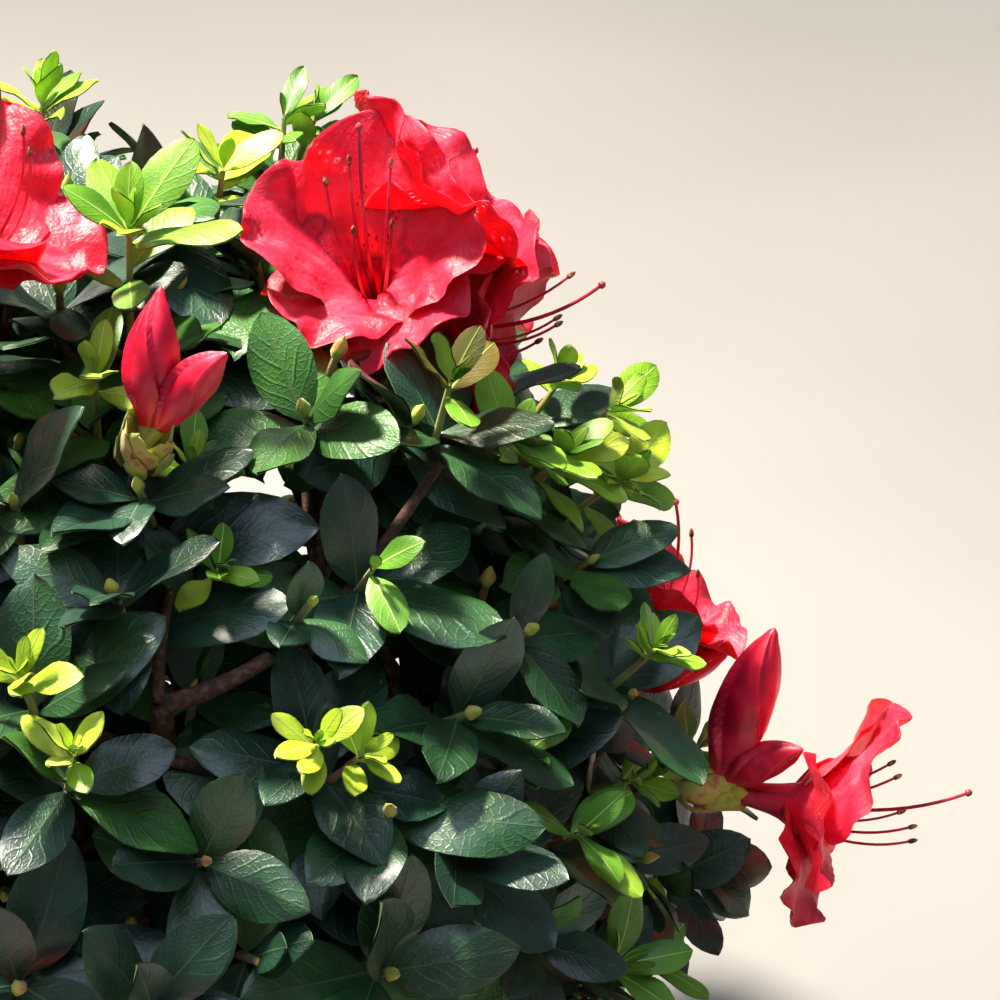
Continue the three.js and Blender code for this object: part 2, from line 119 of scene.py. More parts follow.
soft_light("sun_side", (-0.42, 0.34, 1.58), (0.05, 0, 0.22), 0.17, 82, "#fff4e2")
soft_light("sky_above", (-0.1, -0.5, 1.9), (0.05, 0, 0.2), 1.6, 16, "#d0e0ff")
world = bpy.data.worlds.new("sky")
world.use_nodes = True
world.node_tree.nodes["Background"].inputs["Color"].default_value = linear("#dde8f2")
world.node_tree.nodes["Background"].inputs["Strength"].default_value = 0.2
bpy.context.scene.world = world

# %% [markdown]
# ## The plant's rule
# The solids were placed by a seeded rule. A number from 0 to 1 belongs to each key, so the same key
# always gives the same twig. The crown is a mound, and a direction with a reach from 0 to 1 names each
# place in it. The same functions are written here again, because the visual plant has to grow on from
# the same limbs.

# %% The plant's rule
SEED = 7
GOLDEN_ANGLE = 137.508
CROWN_RADIUS = 172
CROWN_RISE = 172
CROWN_DROP = 130
UP = np.array([0.0, 0.0, 1.0])


def chance(key):
    wave = math.sin(key * 12.9898 + SEED * 78.233) * 43758.5453
    return wave - math.floor(wave)


def between(low, high, key):
    return low + (high - low) * chance(key)


def unit(v):
    return v / np.linalg.norm(v)


def direction(azimuth, elevation):
    a, e = math.radians(azimuth), math.radians(elevation)
    return np.array([math.cos(e) * math.sin(a), -math.cos(e) * math.cos(a), math.sin(e)])


def crown_point(azimuth, elevation, reach):
    d = direction(azimuth, elevation)
    rise = CROWN_RISE if d[2] > 0 else CROWN_DROP
    return CROWN_CENTRE + reach * d * np.array([CROWN_RADIUS, CROWN_RADIUS, rise])


def tilted(facing, tilt, turn):
    across = np.cross(facing, UP)
    aside = unit(across) if across @ across > 1e-6 else np.array([1.0, 0.0, 0.0])
    t = math.radians(turn)
    outward = aside * math.cos(t) + np.cross(facing, aside) * math.sin(t)
    return facing * math.cos(math.radians(tilt)) + outward * math.sin(math.radians(tilt))


def bezier(start, bend, end, t):
    t = np.asarray(t)[:, None]
    return (1 - t) ** 2 * start + 2 * t * (1 - t) * bend + t ** 2 * end


print("the first three chances:", [round(chance(k), 3) for k in (1, 2, 3)])

# %% [markdown]
# ## Limbs and masses
# The short main stem forks into twelve boughs in three tiers. Each bough ends where a mass of foliage
# begins, and the mass carries on as a thinner stem to its own heart. These are the same paths as the
# solids have, kept as curves so that bark can be wrapped round them.

# %% Limbs and masses
STEM_HEIGHT = 60
STEM_LEAN = 3
STEM_PROFILE = [(15, 0), (12, 4), (9.8, 14), (8.8, 32), (8.4, 50), (6, 58), (0.2, 60)]
ROOT_RIDGES = 5
RIDGE_HEIGHT = 0.16
RIDGE_REACH = 22
TIERS = [
    ("top", 1, 90, 0, 50, 4.6),
    ("upper", 5, 38, 30, 44, 4.2),
    ("lower", 6, -10, 0, 26, 3.9),
]
BOUGH_REACH = 0.5
BOUGH_TIP_RADIUS = 2.6
HUB_REACH = 0.7


def stem_axis(height):
    return np.array([STEM_LEAN * (height / STEM_HEIGHT) ** 2, 0, height])


masses = []
for name, count, elevation, first_azimuth, fork_height, radius in TIERS:
    for i in range(count):
        azimuth = first_azimuth + 360 / count * i
        start = stem_axis(fork_height)
        tip = crown_point(azimuth, elevation, BOUGH_REACH)
        bend = start + (tip - start) * np.array([0.42, 0.42, 0.58])
        masses.append({
            "name": f"{name}_{i + 1}" if count > 1 else name,
            "axis": direction(azimuth, elevation),
            "radius": radius, "start": start, "bend": bend, "tip": tip,
            "entry": unit(tip - bend),
            "hub": crown_point(azimuth, elevation, HUB_REACH),
        })


def mass_of(facing):
    return max(masses, key=lambda mass: mass["axis"] @ facing)


print("masses:", [mass["name"] for mass in masses])

# %% [markdown]
# ## Flowering twigs
# An azalea opens its flowers at the tips of last year's twigs, one to three from a cup of bud scales,
# often with buds that are still closed beside them. The first five twigs stand where the picture shows
# them. The others follow the rule of the solids round the sides that it doesn't show. Each bloom also
# has a depth in front of its throat that leaves stay out of, and a share for the length of its stamens.

# %% Flowering twigs
PEDUNCLE_LENGTH = 13
CUP_START = PEDUNCLE_LENGTH - 2
BLOOM_OFFSET = 4
CLEAR_DEPTH = 58
# Azimuth, elevation and reach, blooms (azimuth, elevation, size, flare of the lobes),
# closed buds (azimuth, elevation, length).
SHOWN_TRUSSES = [
    (94, 55.5, 0.85, [(-8, 57, 0.95, 60), (106, 61, 0.99, 58), (80, 4, 0.8, 62)], []),
    (-17, 72, 0.89, [(80, 62, 0.95, 58)], []),
    (24, 57, 0.925, [], [(150, 76, 31), (80, 50, 26)]),
    (96, 6, 0.82, [(98, 62, 0.8, 56)], [(82, 24, 28)]),
    (84, 2, 0.96, [(72, -1, 0.94, 72)], [(106, 72, 43), (62, 38, 26)]),
]
MORE_ELEVATIONS = [20, 4, 54, 26, 52, 4, 35, -14]
MORE_FROM_AZIMUTH = 146
MORE_STEP = 32

trusses = []
for azimuth, elevation, reach, open_blooms, closed_buds in SHOWN_TRUSSES:
    trusses.append({
        "azimuth": azimuth, "elevation": elevation, "reach": reach,
        "blooms": [(direction(a, e), size, flare) for a, e, size, flare in open_blooms],
        "buds": [(direction(a, e), length) for a, e, length in closed_buds],
    })
for i, elevation in enumerate(MORE_ELEVATIONS):
    azimuth = MORE_FROM_AZIMUTH + MORE_STEP * i
    axis = unit(direction(azimuth, elevation) + 0.25 * UP)
    turn = 360 * chance(500 + i)
    ways = [tilted(axis, 20, turn)]
    if i % 3 == 1:
        ways.append(tilted(axis, 62, turn + 140))
    bud = (tilted(axis, 42, turn + 215), between(26, 36, 520 + i))
    size, flare = between(0.88, 1.0, 540 + i), between(54, 74, 560 + i)
    trusses.append({
        "azimuth": azimuth, "elevation": elevation, "reach": 0.9,
        "blooms": [(way, size, flare) for way in ways], "buds": [bud] if i % 2 == 0 else [],
    })
for truss in trusses:
    truss["facing"] = direction(truss["azimuth"], truss["elevation"])
    place = crown_point(truss["azimuth"], truss["elevation"], truss["reach"])
    truss["foot"] = place - PEDUNCLE_LENGTH * truss["facing"]
    truss["cup"] = truss["foot"] + CUP_START * truss["facing"]
    truss["heart"] = truss["cup"] + 7 * truss["facing"]
blooms = [
    {"throat": truss["heart"] + BLOOM_OFFSET * facing, "facing": facing, "size": size, "flare": flare}
    for truss in trusses for facing, size, flare in truss["blooms"]
]
for bloom in blooms:
    bloom.update(clear=CLEAR_DEPTH, threads=1.0)
blooms[1]["threads"] = 0.66  # the stamens of this one don't show above its lobes
blooms[3]["clear"] = 30  # a tall leafy tuft stands close before this one
print("flowering twigs:", len(trusses), "open blooms:", len(blooms))

# %% [markdown]
# ## Twigs
# Inside a mass the twigs fork again and again. Each new twig takes the nearest free place on the older
# wood, as a real one grows from an old leaf's bud. The solids stop at about a hundred twigs. Here the
# same tree is grown first, and then finer shoots fork from it, spread evenly by the golden angle. Some
# shoots are named one by one, because the picture shows exactly where they stand.

# %% Twigs
SHOOTS = 108
LOWEST_ELEVATION = -56
SHOOT_LENGTH = 13
FORK_SPACING = 14
FINE_SHOOTS = 560
TWIG_STEPS = 9

twigs = []  # each is (points, start radius, end radius)
shoots = []  # each ends in leaves


def lattice(count, low_reach, high_reach, key):
    lowest = math.sin(math.radians(LOWEST_ELEVATION))
    for i in range(count):
        elevation = math.degrees(math.asin(1 - (1 - lowest) * (i + 0.5) / count))
        azimuth = GOLDEN_ANGLE * i + between(-5, 5, key + i)
        yield azimuth, elevation, between(low_reach, high_reach, key + 200 + i)


def take_fork(end, forks, keep=False):
    depth = np.linalg.norm(end - CROWN_CENTRE)
    inner = [f for f in forks if np.linalg.norm(f - CROWN_CENTRE) < depth - 6] or forks
    fork = min(inner, key=lambda f: np.linalg.norm(f - end))
    if len(forks) > 1 and not keep:
        forks[:] = [f for f in forks if f is not fork]
    return fork


def forks_along(start, end):
    count = int(np.linalg.norm(end - start) // FORK_SPACING)
    return [start + (end - start) * (i + 1) / (count + 0.5) for i in range(count)]


def grow_twig(fork, shoulder, facing, start_radius, end_radius):
    bend = shoulder - facing * 0.4 * np.linalg.norm(shoulder - fork)
    path = bezier(fork, bend, shoulder, np.linspace(0, 1, TWIG_STEPS))
    twigs.append((path, start_radius, end_radius))
    return path


for mass in masses:
    start, hub = mass["tip"], mass["hub"]
    bend = start + mass["entry"] * 0.5 * np.linalg.norm(hub - start)
    stem = bezier(start, bend, hub, np.linspace(0, 1, TWIG_STEPS))
    twigs.append((stem, BOUGH_TIP_RADIUS, 2.0))
    mass["forks"] = [stem[4], stem[8]]
    for truss in trusses:
        if mass_of(truss["facing"]) is mass:
            fork = take_fork(truss["foot"], mass["forks"])
            path = grow_twig(fork, truss["foot"], truss["facing"], 1.9, 1.7)
            mass["forks"].append(path[4])

for i, (azimuth, elevation, reach) in enumerate(lattice(SHOOTS, 0.84, 0.95, 0)):
    outward = direction(azimuth, elevation)
    facing = unit(outward * 0.75 + UP * 0.42)
    tip = crown_point(azimuth, elevation, reach)
    shoots.append({"key": i + 1, "mass": mass_of(outward), "tip": tip, "facing": facing, "kind": "grown"})
for mass in masses:
    own = [s for s in shoots if s["mass"] is mass]
    for shoot in sorted(own, key=lambda s: np.linalg.norm(s["tip"] - mass["hub"])):
        shoulder = shoot["tip"] - SHOOT_LENGTH * shoot["facing"]
        fork = take_fork(shoulder, mass["forks"])
        grow_twig(fork, shoulder, shoot["facing"], 1.7, 1.4)
        mass["forks"] += forks_along(fork, shoulder)
        shoot["base"] = shoulder
print("twigs of the solids' tree:", len(twigs))

# %% [markdown]
# ## Named shoots and fine shoots
# A young shoot stands out by its light green tuft, so the ones that show are listed one by one: where on
# the mound they are, how far out they reach, where they point and how long the new growth is. Whorls of
# large old leaves that show clearly are named in the same list, without new growth. A few pieces of bare
# wood show between the leaves. Hollows, openings and a clear line of sight to two cups of bud scales
# keep leaves away from them. A fine shoot is left out where a named one, a bloom, a hollow or the
# ground already has the room.

# %% Named shoots and fine shoots
# Where the tuft is (azimuth, elevation, reach), where it points (azimuth, elevation), new growth, kind.
NAMED_SHOOTS = [
    (33, 72, 1.09, 20, 80, 28, "tall"), (130, 69, 0.98, 80, 80, 14, "broad"),
    (138, 61, 1.07, 150, 80, 14, "tip"), (134, 59, 1.09, 110, 66, 16, "tip"),
    (20, 65, 0.96, 10, 76, 12, "young"), (66, 50.7, 1.045, 50, 74, 10, "bronze"),
    (73, 43.5, 1.0, 62, 56, 14, "young"), (88, 37.5, 1.06, 84, 50, 30, "young"),
    (77, 39.2, 1.02, 78, 44, 16, "young"), (84, 33, 1.03, 84, 40, 20, "young"),
    (46, 42, 0.95, 24, 48, 10, "pair"), (70, 23.6, 1.035, 62, 50, 12, "small"),
    (32, 31, 0.96, 10, 52, 10, "lime"), (37, 29, 0.96, 60, 48, 10, "lime"),
    (57, 14, 0.97, 50, 40, 8, "green"), (10, 34, 0.97, 20, 60, 8, "lime"),
    (5, 40, 0.97, 350, 60, 10, "lime"), (61, -1, 0.97, 60, 40, 5, "green"),
    (72, -10, 0.97, 80, 34, 5, "green"), (182, 69, 1.03, 180, 76, 14, "young"),
    (62, 30, 0.92, 45, 42, 0, "whorl"), (16, 46, 0.91, -14, 60, 0, "whorl"),
    (38, 23, 0.92, 10, 46, 0, "whorl"), (71, 19, 0.95, 20, 56, 0, "whorl"),
    (51, 27, 0.9, 46, 36, 0, "whorl"), (45, 17, 0.92, 48, 32, 0, "whorl"), (4, 15, 0.91, 5, 30, 0, "whorl"),
    (35, 10, 0.92, 32, 28, 0, "whorl"), (80, -7, 0.95, 76, 16, 0, "whorl"),
    (22, 54, 0.92, -18, 64, 0, "whorl"), (76, 30, 0.94, 74, 40, 0, "whorl"),
    (19, 75, 0.93, 20, 80, 0, "whorl"), (21, 23, 0.88, 22, 34, 0, "whorl"),
    (66, 50, 0.93, 64, 58, 0, "whorl"), (52, 5, 0.92, 55, 22, 0, "whorl"),
    (24, 14, 0.9, 24, 26, 0, "whorl"), (81, -4, 1.0, 80, 14, 0, "whorl"),
    (37, 41, 0.93, 40, 50, 0, "sprig"), (52, 56, 0.92, -16, 62, 0, "whorl"),
]
# Wood that shows from outside: a forked branch in a hollow, and a stem that leans out to a pair of leaves.
SHOWN_STEPS = 40
SHOWN_WOOD = [
    ([(21, 30, 0.66), (21, 33, 0.78), (20, 36.7, 0.84)], 2.7, 2.5),
    ([(20, 36.7, 0.84), (26, 36.6, 0.85), (33, 38.3, 0.87)], 2.4, 1.7),
    ([(20, 36.7, 0.84), (20, 41, 0.85), (23.5, 46, 0.88)], 1.7, 1.2),
    ([(44, 39, 0.76), (49, 42, 0.88), (66, 46, 0.93)], 1.7, 1.2),
]
# Hollows in the crown, as a place and a radius, and openings that let the light through from side to side.
HOLLOWS = [(25, 39, 0.98, 15), (36, 47, 0.98, 10), (77, 7.5, 0.99, 14),
           (76, 13, 1.0, 11), (79, 11, 1.05, 10), (85, 20, 0.97, 12)]
OPENINGS = [
    ((39.8, 52.1, 0.9), (163.6, 2.1, 0.9), 3.6),
    ((40.4, 46.4, 0.9), (159.4, -5.6, 0.9), 3.6),
    ((46.8, 32.4, 0.9), (142.2, -19.6, 0.9), 2.6),
]
hollows = [(crown_point(*place), radius) for *place, radius in HOLLOWS]
openings = [(crown_point(*front), unit(crown_point(*back) - crown_point(*front)), radius)
            for front, back, radius in OPENINGS]
for places, start_radius, end_radius in SHOWN_WOOD:
    path = bezier(*[crown_point(*p) for p in places], np.linspace(0, 1, SHOWN_STEPS))
    twigs.append((path, start_radius, end_radius))
    mass_of(direction(*places[-1][:2]))["forks"] += list(path[15::8])
    hollows += [(point, 4.5) for point in path[6:34:4]]
for truss in (trusses[2], trusses[4]):
    to_eye = unit(eye - truss["cup"])
    hollows += [(truss["cup"] + to_eye * reach, 8) for reach in (14, 24, 34, 44)]
hollow_centres, hollow_radii = (np.array(part) for part in zip(*hollows))

throats, ways, sizes, clear = (np.array([bloom[part] for bloom in blooms])
                               for part in ("throat", "facing", "size", "clear"))
bud_roots = np.array([truss["heart"] for truss in trusses for _ in truss["buds"]])
bud_ways = np.array([way for truss in trusses for way, _ in truss["buds"]])
bud_lengths = np.array([length for truss in trusses for _, length in truss["buds"]])
cups = np.array([truss["cup"] + 3 * truss["facing"] for truss in trusses])


def in_bloom(point, margin=3.0):
    """Whether a point lies in an open bloom or just in front of it, in a closed bud or in a cup of scales."""
    along = ((point - throats) * ways).sum(1)
    aside = np.linalg.norm(point - throats - along[:, None] * ways, axis=1)
    reach = np.interp(along, [-3, 0, 15, 22, 28, 34, 50, 58], [0, 4, 8, 14, 22, 36, 32, 0]) * sizes
    if np.any((along > -3) & (along < clear) & (aside < reach + margin)):
        return True
    along = np.clip(((point - bud_roots) * bud_ways).sum(1), 0, bud_lengths)
    if np.any(np.linalg.norm(point - bud_roots - along[:, None] * bud_ways, axis=1) < 7 + margin):
        return True
    return bool(np.any(np.linalg.norm(point - cups, axis=1) < 8 + margin))


def in_opening(point, margin=0.0):
    """Whether a point lies in a hollow or in an opening that goes through the crown."""
    if np.any(np.linalg.norm(point - hollow_centres, axis=1) < hollow_radii + margin):
        return True
    return any(np.linalg.norm(np.cross(point - start, way)) < radius + margin
               for start, way, radius in openings)


for n, (azimuth, elevation, reach, to_azimuth, to_elevation, growth, kind) in enumerate(NAMED_SHOOTS):
    facing = direction(to_azimuth, to_elevation)
    tip = crown_point(azimuth, elevation, reach) - facing * (growth + 4 if growth else 0)
    mass = mass_of(direction(azimuth, elevation))
    base = tip - SHOOT_LENGTH * facing
    fork = take_fork(base, mass["forks"], keep=True)
    grow_twig(fork, base, facing, 1.5, 1.3)
    shoots.append({"key": 700 + n, "mass": mass, "tip": tip, "base": base, "facing": facing,
                   "kind": kind, "growth": growth})
named = [s for s in shoots if s["kind"] != "grown"]


def crowded(tip, others, spacing):
    nearest = min(np.linalg.norm(tip - other["tip"]) for other in others)
    return nearest < spacing or in_bloom(tip, 6) or in_opening(tip, 4)


shoots = [s for s in shoots if s["kind"] != "grown" or not crowded(s["tip"], named, 22)]
for i, (azimuth, elevation, reach) in enumerate(lattice(FINE_SHOOTS, 0.74, 0.96, 3000)):
    outward = direction(azimuth, elevation)
    tip = crown_point(azimuth, elevation, reach)
    if crowded(tip, shoots, 19.5) or tip[2] < 30:
        continue
    facing = unit(outward * between(0.6, 1.0, 4000 + i) + UP * between(0.2, 0.6, 4400 + i))
    facing = tilted(facing, between(0, 24, 4800 + i), 360 * chance(5200 + i))
    mass = mass_of(outward)
    base = tip - SHOOT_LENGTH * facing
    fork = take_fork(base, mass["forks"], keep=True)
    grow_twig(fork, base, facing, 1.3, 1.1)
    shoots.append({"key": 900 + i, "mass": mass, "tip": tip, "base": base, "facing": facing, "kind": "fine"})
print("twigs:", len(twigs), "leafy shoots:", len(shoots))

# %% [markdown]
# ## Nodes and plain finishes
# A shader is a graph of nodes. One helper adds any node with its settings, and another gives a node's
# inputs their values and links those whose value is another node's output. An input is given by its
# name, or as i0, i1, i2 where a node numbers its inputs. Many surfaces of the plant are one colour that
# runs light and dark with a cloud of noise, so that finish has a function of its own: the cloud drives
# the colour and, where the surface is rough, a bump as well.

# %% Nodes and plain finishes
def set_inputs(node, **inputs):
    for name, value in inputs.items():
        numbered = name[0] == "i" and name[1:].isdigit()
        socket = node.inputs[int(name[1:]) if numbered else name.replace("_", " ")]
        if isinstance(value, bpy.types.NodeSocket):
            node.id_data.links.new(value, socket)
        else:
            socket.default_value = value


def add_node(tree, kind, settings=None, **inputs):
    node = tree.nodes.new(kind)
    for name, value in (settings or {}).items():
        setattr(node, name, value)
    set_inputs(node, **inputs)
    return node


def new_material(name):
    material = bpy.data.materials.new(name)
    material.use_nodes = True
    tree = material.node_tree
    return material, tree, tree.nodes["Principled BSDF"]


def coordinates(tree, kind):
    return add_node(tree, "ShaderNodeTexCoord").outputs[kind]


def ramp(tree, factor, stops):
    node = add_node(tree, "ShaderNodeValToRGB", i0=factor)
    while len(node.color_ramp.elements) < len(stops):
        node.color_ramp.elements.new(0.5)
    for element, (place, colour) in zip(node.color_ramp.elements, stops):
        element.position = place
        element.color = linear(colour)
    return node.outputs["Color"]


def calculate(tree, operation, *values):
    numbered = {f"i{n}": value for n, value in enumerate(values)}
    return add_node(tree, "ShaderNodeMath", {"operation": operation}, **numbered).outputs[0]


def bumped(tree, strength, depth, height):
    bump = add_node(tree, "ShaderNodeBump", Strength=strength, Distance=depth, Height=height)
    return bump.outputs["Normal"]


def clouded(name, scale, detail, stops, grain=0.5, emboss=None, **finish):
    """A finish whose colour runs with a cloud of noise. Emboss is the strength and the depth of its bump."""
    material, tree, shader = new_material(name)
    cloud = add_node(tree, "ShaderNodeTexNoise", Vector=coordinates(tree, "Object"), Scale=scale,
                     Detail=detail, Roughness=grain).outputs["Fac"]
    set_inputs(shader, Base_Color=ramp(tree, cloud, stops), **finish)
    if emboss:
        set_inputs(shader, Normal=bumped(tree, *emboss, cloud))
    return material


print("helpers for materials are ready")

# %% [markdown]
# ## Sheets and joined pieces
# A plant has thousands of leaves, so single objects would be slow. Each kind of sheet is a small grid
# of points, every copy is moved into place with array sums, and all copies are joined into one mesh.

# %% Sheets and joined pieces
def grid_quads(rows, columns, closed=False, flip=False):
    r, c = np.meshgrid(np.arange(rows - 1), np.arange(columns if closed else columns - 1), indexing="ij")
    right = (c + 1) % columns
    low, high = r * columns, (r + 1) * columns
    quads = np.stack([low + c, low + right, high + right, high + c], -1).reshape(-1, 4)
    return quads[:, ::-1] if flip else quads


class Piece:
    """Sheets of one kind, gathered to become one mesh."""

    def __init__(self):
        self.points, self.quads, self.uv, self.face_slots, self.count = [], [], [], [], 0

    def add(self, points, quads, uv, face_slot=0):
        points = np.asarray(points, float).reshape(-1, 3)
        self.points.append(points)
        self.quads.append(quads + self.count)
        self.uv.append(np.asarray(uv, float).reshape(-1, 2)[quads.ravel()])
        self.face_slots.append(np.broadcast_to(face_slot, len(quads)))
        self.count += len(points)

    def build(self, name, materials, slot, nodes=()):
        points = np.concatenate(self.points) * MM
        quads = np.concatenate(self.quads)
        mesh = bpy.data.meshes.new(name)
        mesh.vertices.add(len(points))
        mesh.vertices.foreach_set("co", points.astype(np.float32).ravel())
        mesh.loops.add(quads.size)
        mesh.loops.foreach_set("vertex_index", quads.astype(np.int32).ravel())
        mesh.polygons.add(len(quads))
        mesh.polygons.foreach_set("loop_start", np.arange(0, quads.size, 4, dtype=np.int32))
        for material in materials:
            mesh.materials.append(material)
        mesh.polygons.foreach_set("material_index", np.concatenate(self.face_slots).astype(np.int32))
        mesh.update(calc_edges=True)
        uv = np.concatenate(self.uv).astype(np.float32)
        mesh.uv_layers.new(name="blade").data.foreach_set("uv", uv.ravel())
        mesh.shade_smooth()
        thing = bpy.data.objects.new(name, mesh)
        bpy.context.scene.collection.objects.link(thing)
        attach(thing, "root")
        if nodes:
            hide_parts(*nodes)
        print(name, "triangles:", 2 * len(quads))


def tube(path, radii, sides, ring_shape=None):
    """Rings of points along a path, kept from twisting by carrying one side vector along."""
    path = np.asarray(path, float)
    ahead = np.gradient(path, axis=0)
    ahead /= np.linalg.norm(ahead, axis=1)[:, None]
    side = np.cross(ahead[0], [0.31, 0.52, 0.79])
    angles = np.arange(sides) * 2 * math.pi / sides
    rings = []
    for i, (middle, forward) in enumerate(zip(path, ahead)):
        side = unit(side - forward * (side @ forward))
        other = np.cross(forward, side)
        reach = radii[i] * (ring_shape(i, angles) if ring_shape else np.ones(sides))
        ring = np.cos(angles)[:, None] * side + np.sin(angles)[:, None] * other
        rings.append(middle + reach[:, None] * ring)
    lengths = np.concatenate([[0], np.cumsum(np.linalg.norm(np.diff(path, axis=0), axis=1))])
    uv = np.stack(np.meshgrid(lengths / 100, angles / (2 * math.pi), indexing="ij"), -1)
    return np.array(rings), grid_quads(len(path), sides, closed=True), uv


FOLIAGE_NODES = [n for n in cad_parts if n.startswith("foliage_")]
FLOWER_NODES = [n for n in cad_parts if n.startswith("flowering_twig_")]
WOOD_NODES = [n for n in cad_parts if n.startswith("bough_") or n == "main_stem"]
print("nodes to replace:", len(FOLIAGE_NODES), len(FLOWER_NODES), len(WOOD_NODES))

# %% [markdown]
# ## Bark
# The wood of an azalea is thin-barked, grey-brown with a red cast, and split lengthwise into fine
# ridges about 1 mm apart. The large relief is in the mesh itself: uneven ridges run along the stem and
# boughs, and the foot spreads into five root ridges. The finest grain is left to a bump, from a noise
# that is stretched along the limb.

# %% Bark
def relief(key, depth):
    waves = [(2 + k * 3, 360 * chance(key + k), between(0.4, 1.0, key + 20 + k)) for k in range(5)]

    def shape(i, angles):
        total = sum(size * np.cos(n * angles + math.radians(turn) + 0.105 * i * (k - 2))
                    for k, (n, turn, size) in enumerate(waves))
        return 1 + depth * total / 2.5
    return shape


bark_piece = Piece()
levels = np.concatenate([np.linspace(0, 50, 26), np.linspace(51, 60, 8)])
profile_radius = np.interp(levels, [h for _, h in STEM_PROFILE], [r for r, _ in STEM_PROFILE])


def stem_ring(i, angles):
    fade = max(0.0, 1 - levels[i] / RIDGE_REACH)
    return (1 + RIDGE_HEIGHT * fade * np.cos(ROOT_RIDGES * angles)) * relief(40, 0.07)(i, angles)


stem_points, quads, uv = tube([stem_axis(h) for h in levels], profile_radius, 48, stem_ring)
stem_points[0][:, 2] = 0
stem_points[:, :, 2] = np.maximum(stem_points[:, :, 2], 0)
bark_piece.add(stem_points, quads, uv)
BOUGH_STEPS = 36
for n, mass in enumerate(masses):
    path = bezier(mass["start"], mass["bend"], mass["tip"], np.linspace(0, 1, BOUGH_STEPS))
    swelling = [1 + 0.08 * math.sin(i * 0.9 + 6 * chance(60 + n)) for i in range(BOUGH_STEPS)]
    radii = np.linspace(mass["radius"], BOUGH_TIP_RADIUS, BOUGH_STEPS) * np.array(swelling)
    bark_piece.add(*tube(path, radii, 14, relief(80 + 7 * n, 0.09)))

bark, tree, shader = new_material("azalea_bark_weathered")
along_limb = add_node(tree, "ShaderNodeMapping", Vector=coordinates(tree, "UV"), Scale=(12, 26, 1))
strips = add_node(tree, "ShaderNodeTexNoise", Vector=along_limb.outputs["Vector"], Scale=3.0, Detail=6.0,
                  Roughness=0.65).outputs["Fac"]
patches = add_node(tree, "ShaderNodeTexNoise", Vector=coordinates(tree, "Object"), Scale=160.0,
                   Detail=4.0).outputs["Fac"]
blend = calculate(tree, "MULTIPLY_ADD", patches, 0.5, calculate(tree, "MULTIPLY", strips, 0.6))
bark_stops = [(0.3, "#2e1c15"), (0.48, "#5a3a2b"), (0.62, "#7d5a46"), (0.8, "#a48a74")]
set_inputs(shader, Base_Color=ramp(tree, blend, bark_stops), Normal=bumped(tree, 0.8, 0.0006, strips),
           Roughness=0.82)
bark_piece.build("bark_of_stem_and_boughs", [bark], "bark", WOOD_NODES)

# %% [markdown]
# ## Fine twigs
# Last year's twigs are red-brown and 2 to 4 mm thick, with small scars and ridges. Most of them only
# show as dark lines between the leaves, so six sides are enough. The few that show from close by get
# twelve sides and a deeper relief, and are drawn to a point at both ends.

# %% Fine twigs
twig_piece = Piece()
for n, (path, start_radius, end_radius) in enumerate(twigs):
    radii = np.linspace(start_radius, end_radius, len(path))
    shown = len(path) == SHOWN_STEPS
    if shown:
        radii[[0, -1]] = 0.1
    twig_piece.add(*tube(path, radii, 12 if shown else 6, relief(2000 + n, 0.16 if shown else 0.08)))
print("twigs wrapped in bark:", len(twigs))

twig_bark = clouded("azalea_twig_bark", 420.0, 5.0, [(0.32, "#27120e"), (0.5, "#4c2a1e"), (0.66, "#74503a")],
                    grain=0.65, emboss=(0.9, 0.0007), Roughness=0.7)

# %% [markdown]
# ## The leaf
# An azalea leaf is 25 to 42 mm long and half as wide, on a stalk of 2 or 3 mm. It is widest near its
# middle and ends in a short point. The blade folds up a little along its sunk midrib, its rim curls
# down, and its tip hangs. Two powers make the outline, one for the rise from the stalk and one for the
# fall to the tip, and each variant has its own and bends the same grid differently. The back is a
# second sheet, 0.35 mm below the face.

# %% The leaf
LEAF_STEPS = [0, 0.05, 0.1, 0.18, 0.28, 0.4, 0.52, 0.64, 0.76, 0.87, 0.95, 1.0]
INNER_STEPS = [0, 0.07, 0.22, 0.42, 0.62, 0.82, 0.94, 1.0]
LEAF_COLUMNS = 5
INNER_COLUMNS = 3
LEAF_THICKNESS = 0.35
STALK_SHARE = 0.05
VARIANTS = 9


def leaf_outline(steps, base_power, tip_power):
    t = np.clip((steps - STALK_SHARE) / (1 - STALK_SHARE), 0, 1)
    peak = base_power / (base_power + tip_power)
    half = t ** base_power * (1 - t) ** tip_power / (peak ** base_power * (1 - peak) ** tip_power)
    return np.maximum(half, 0.075 * (steps < 0.5) + 0.01)


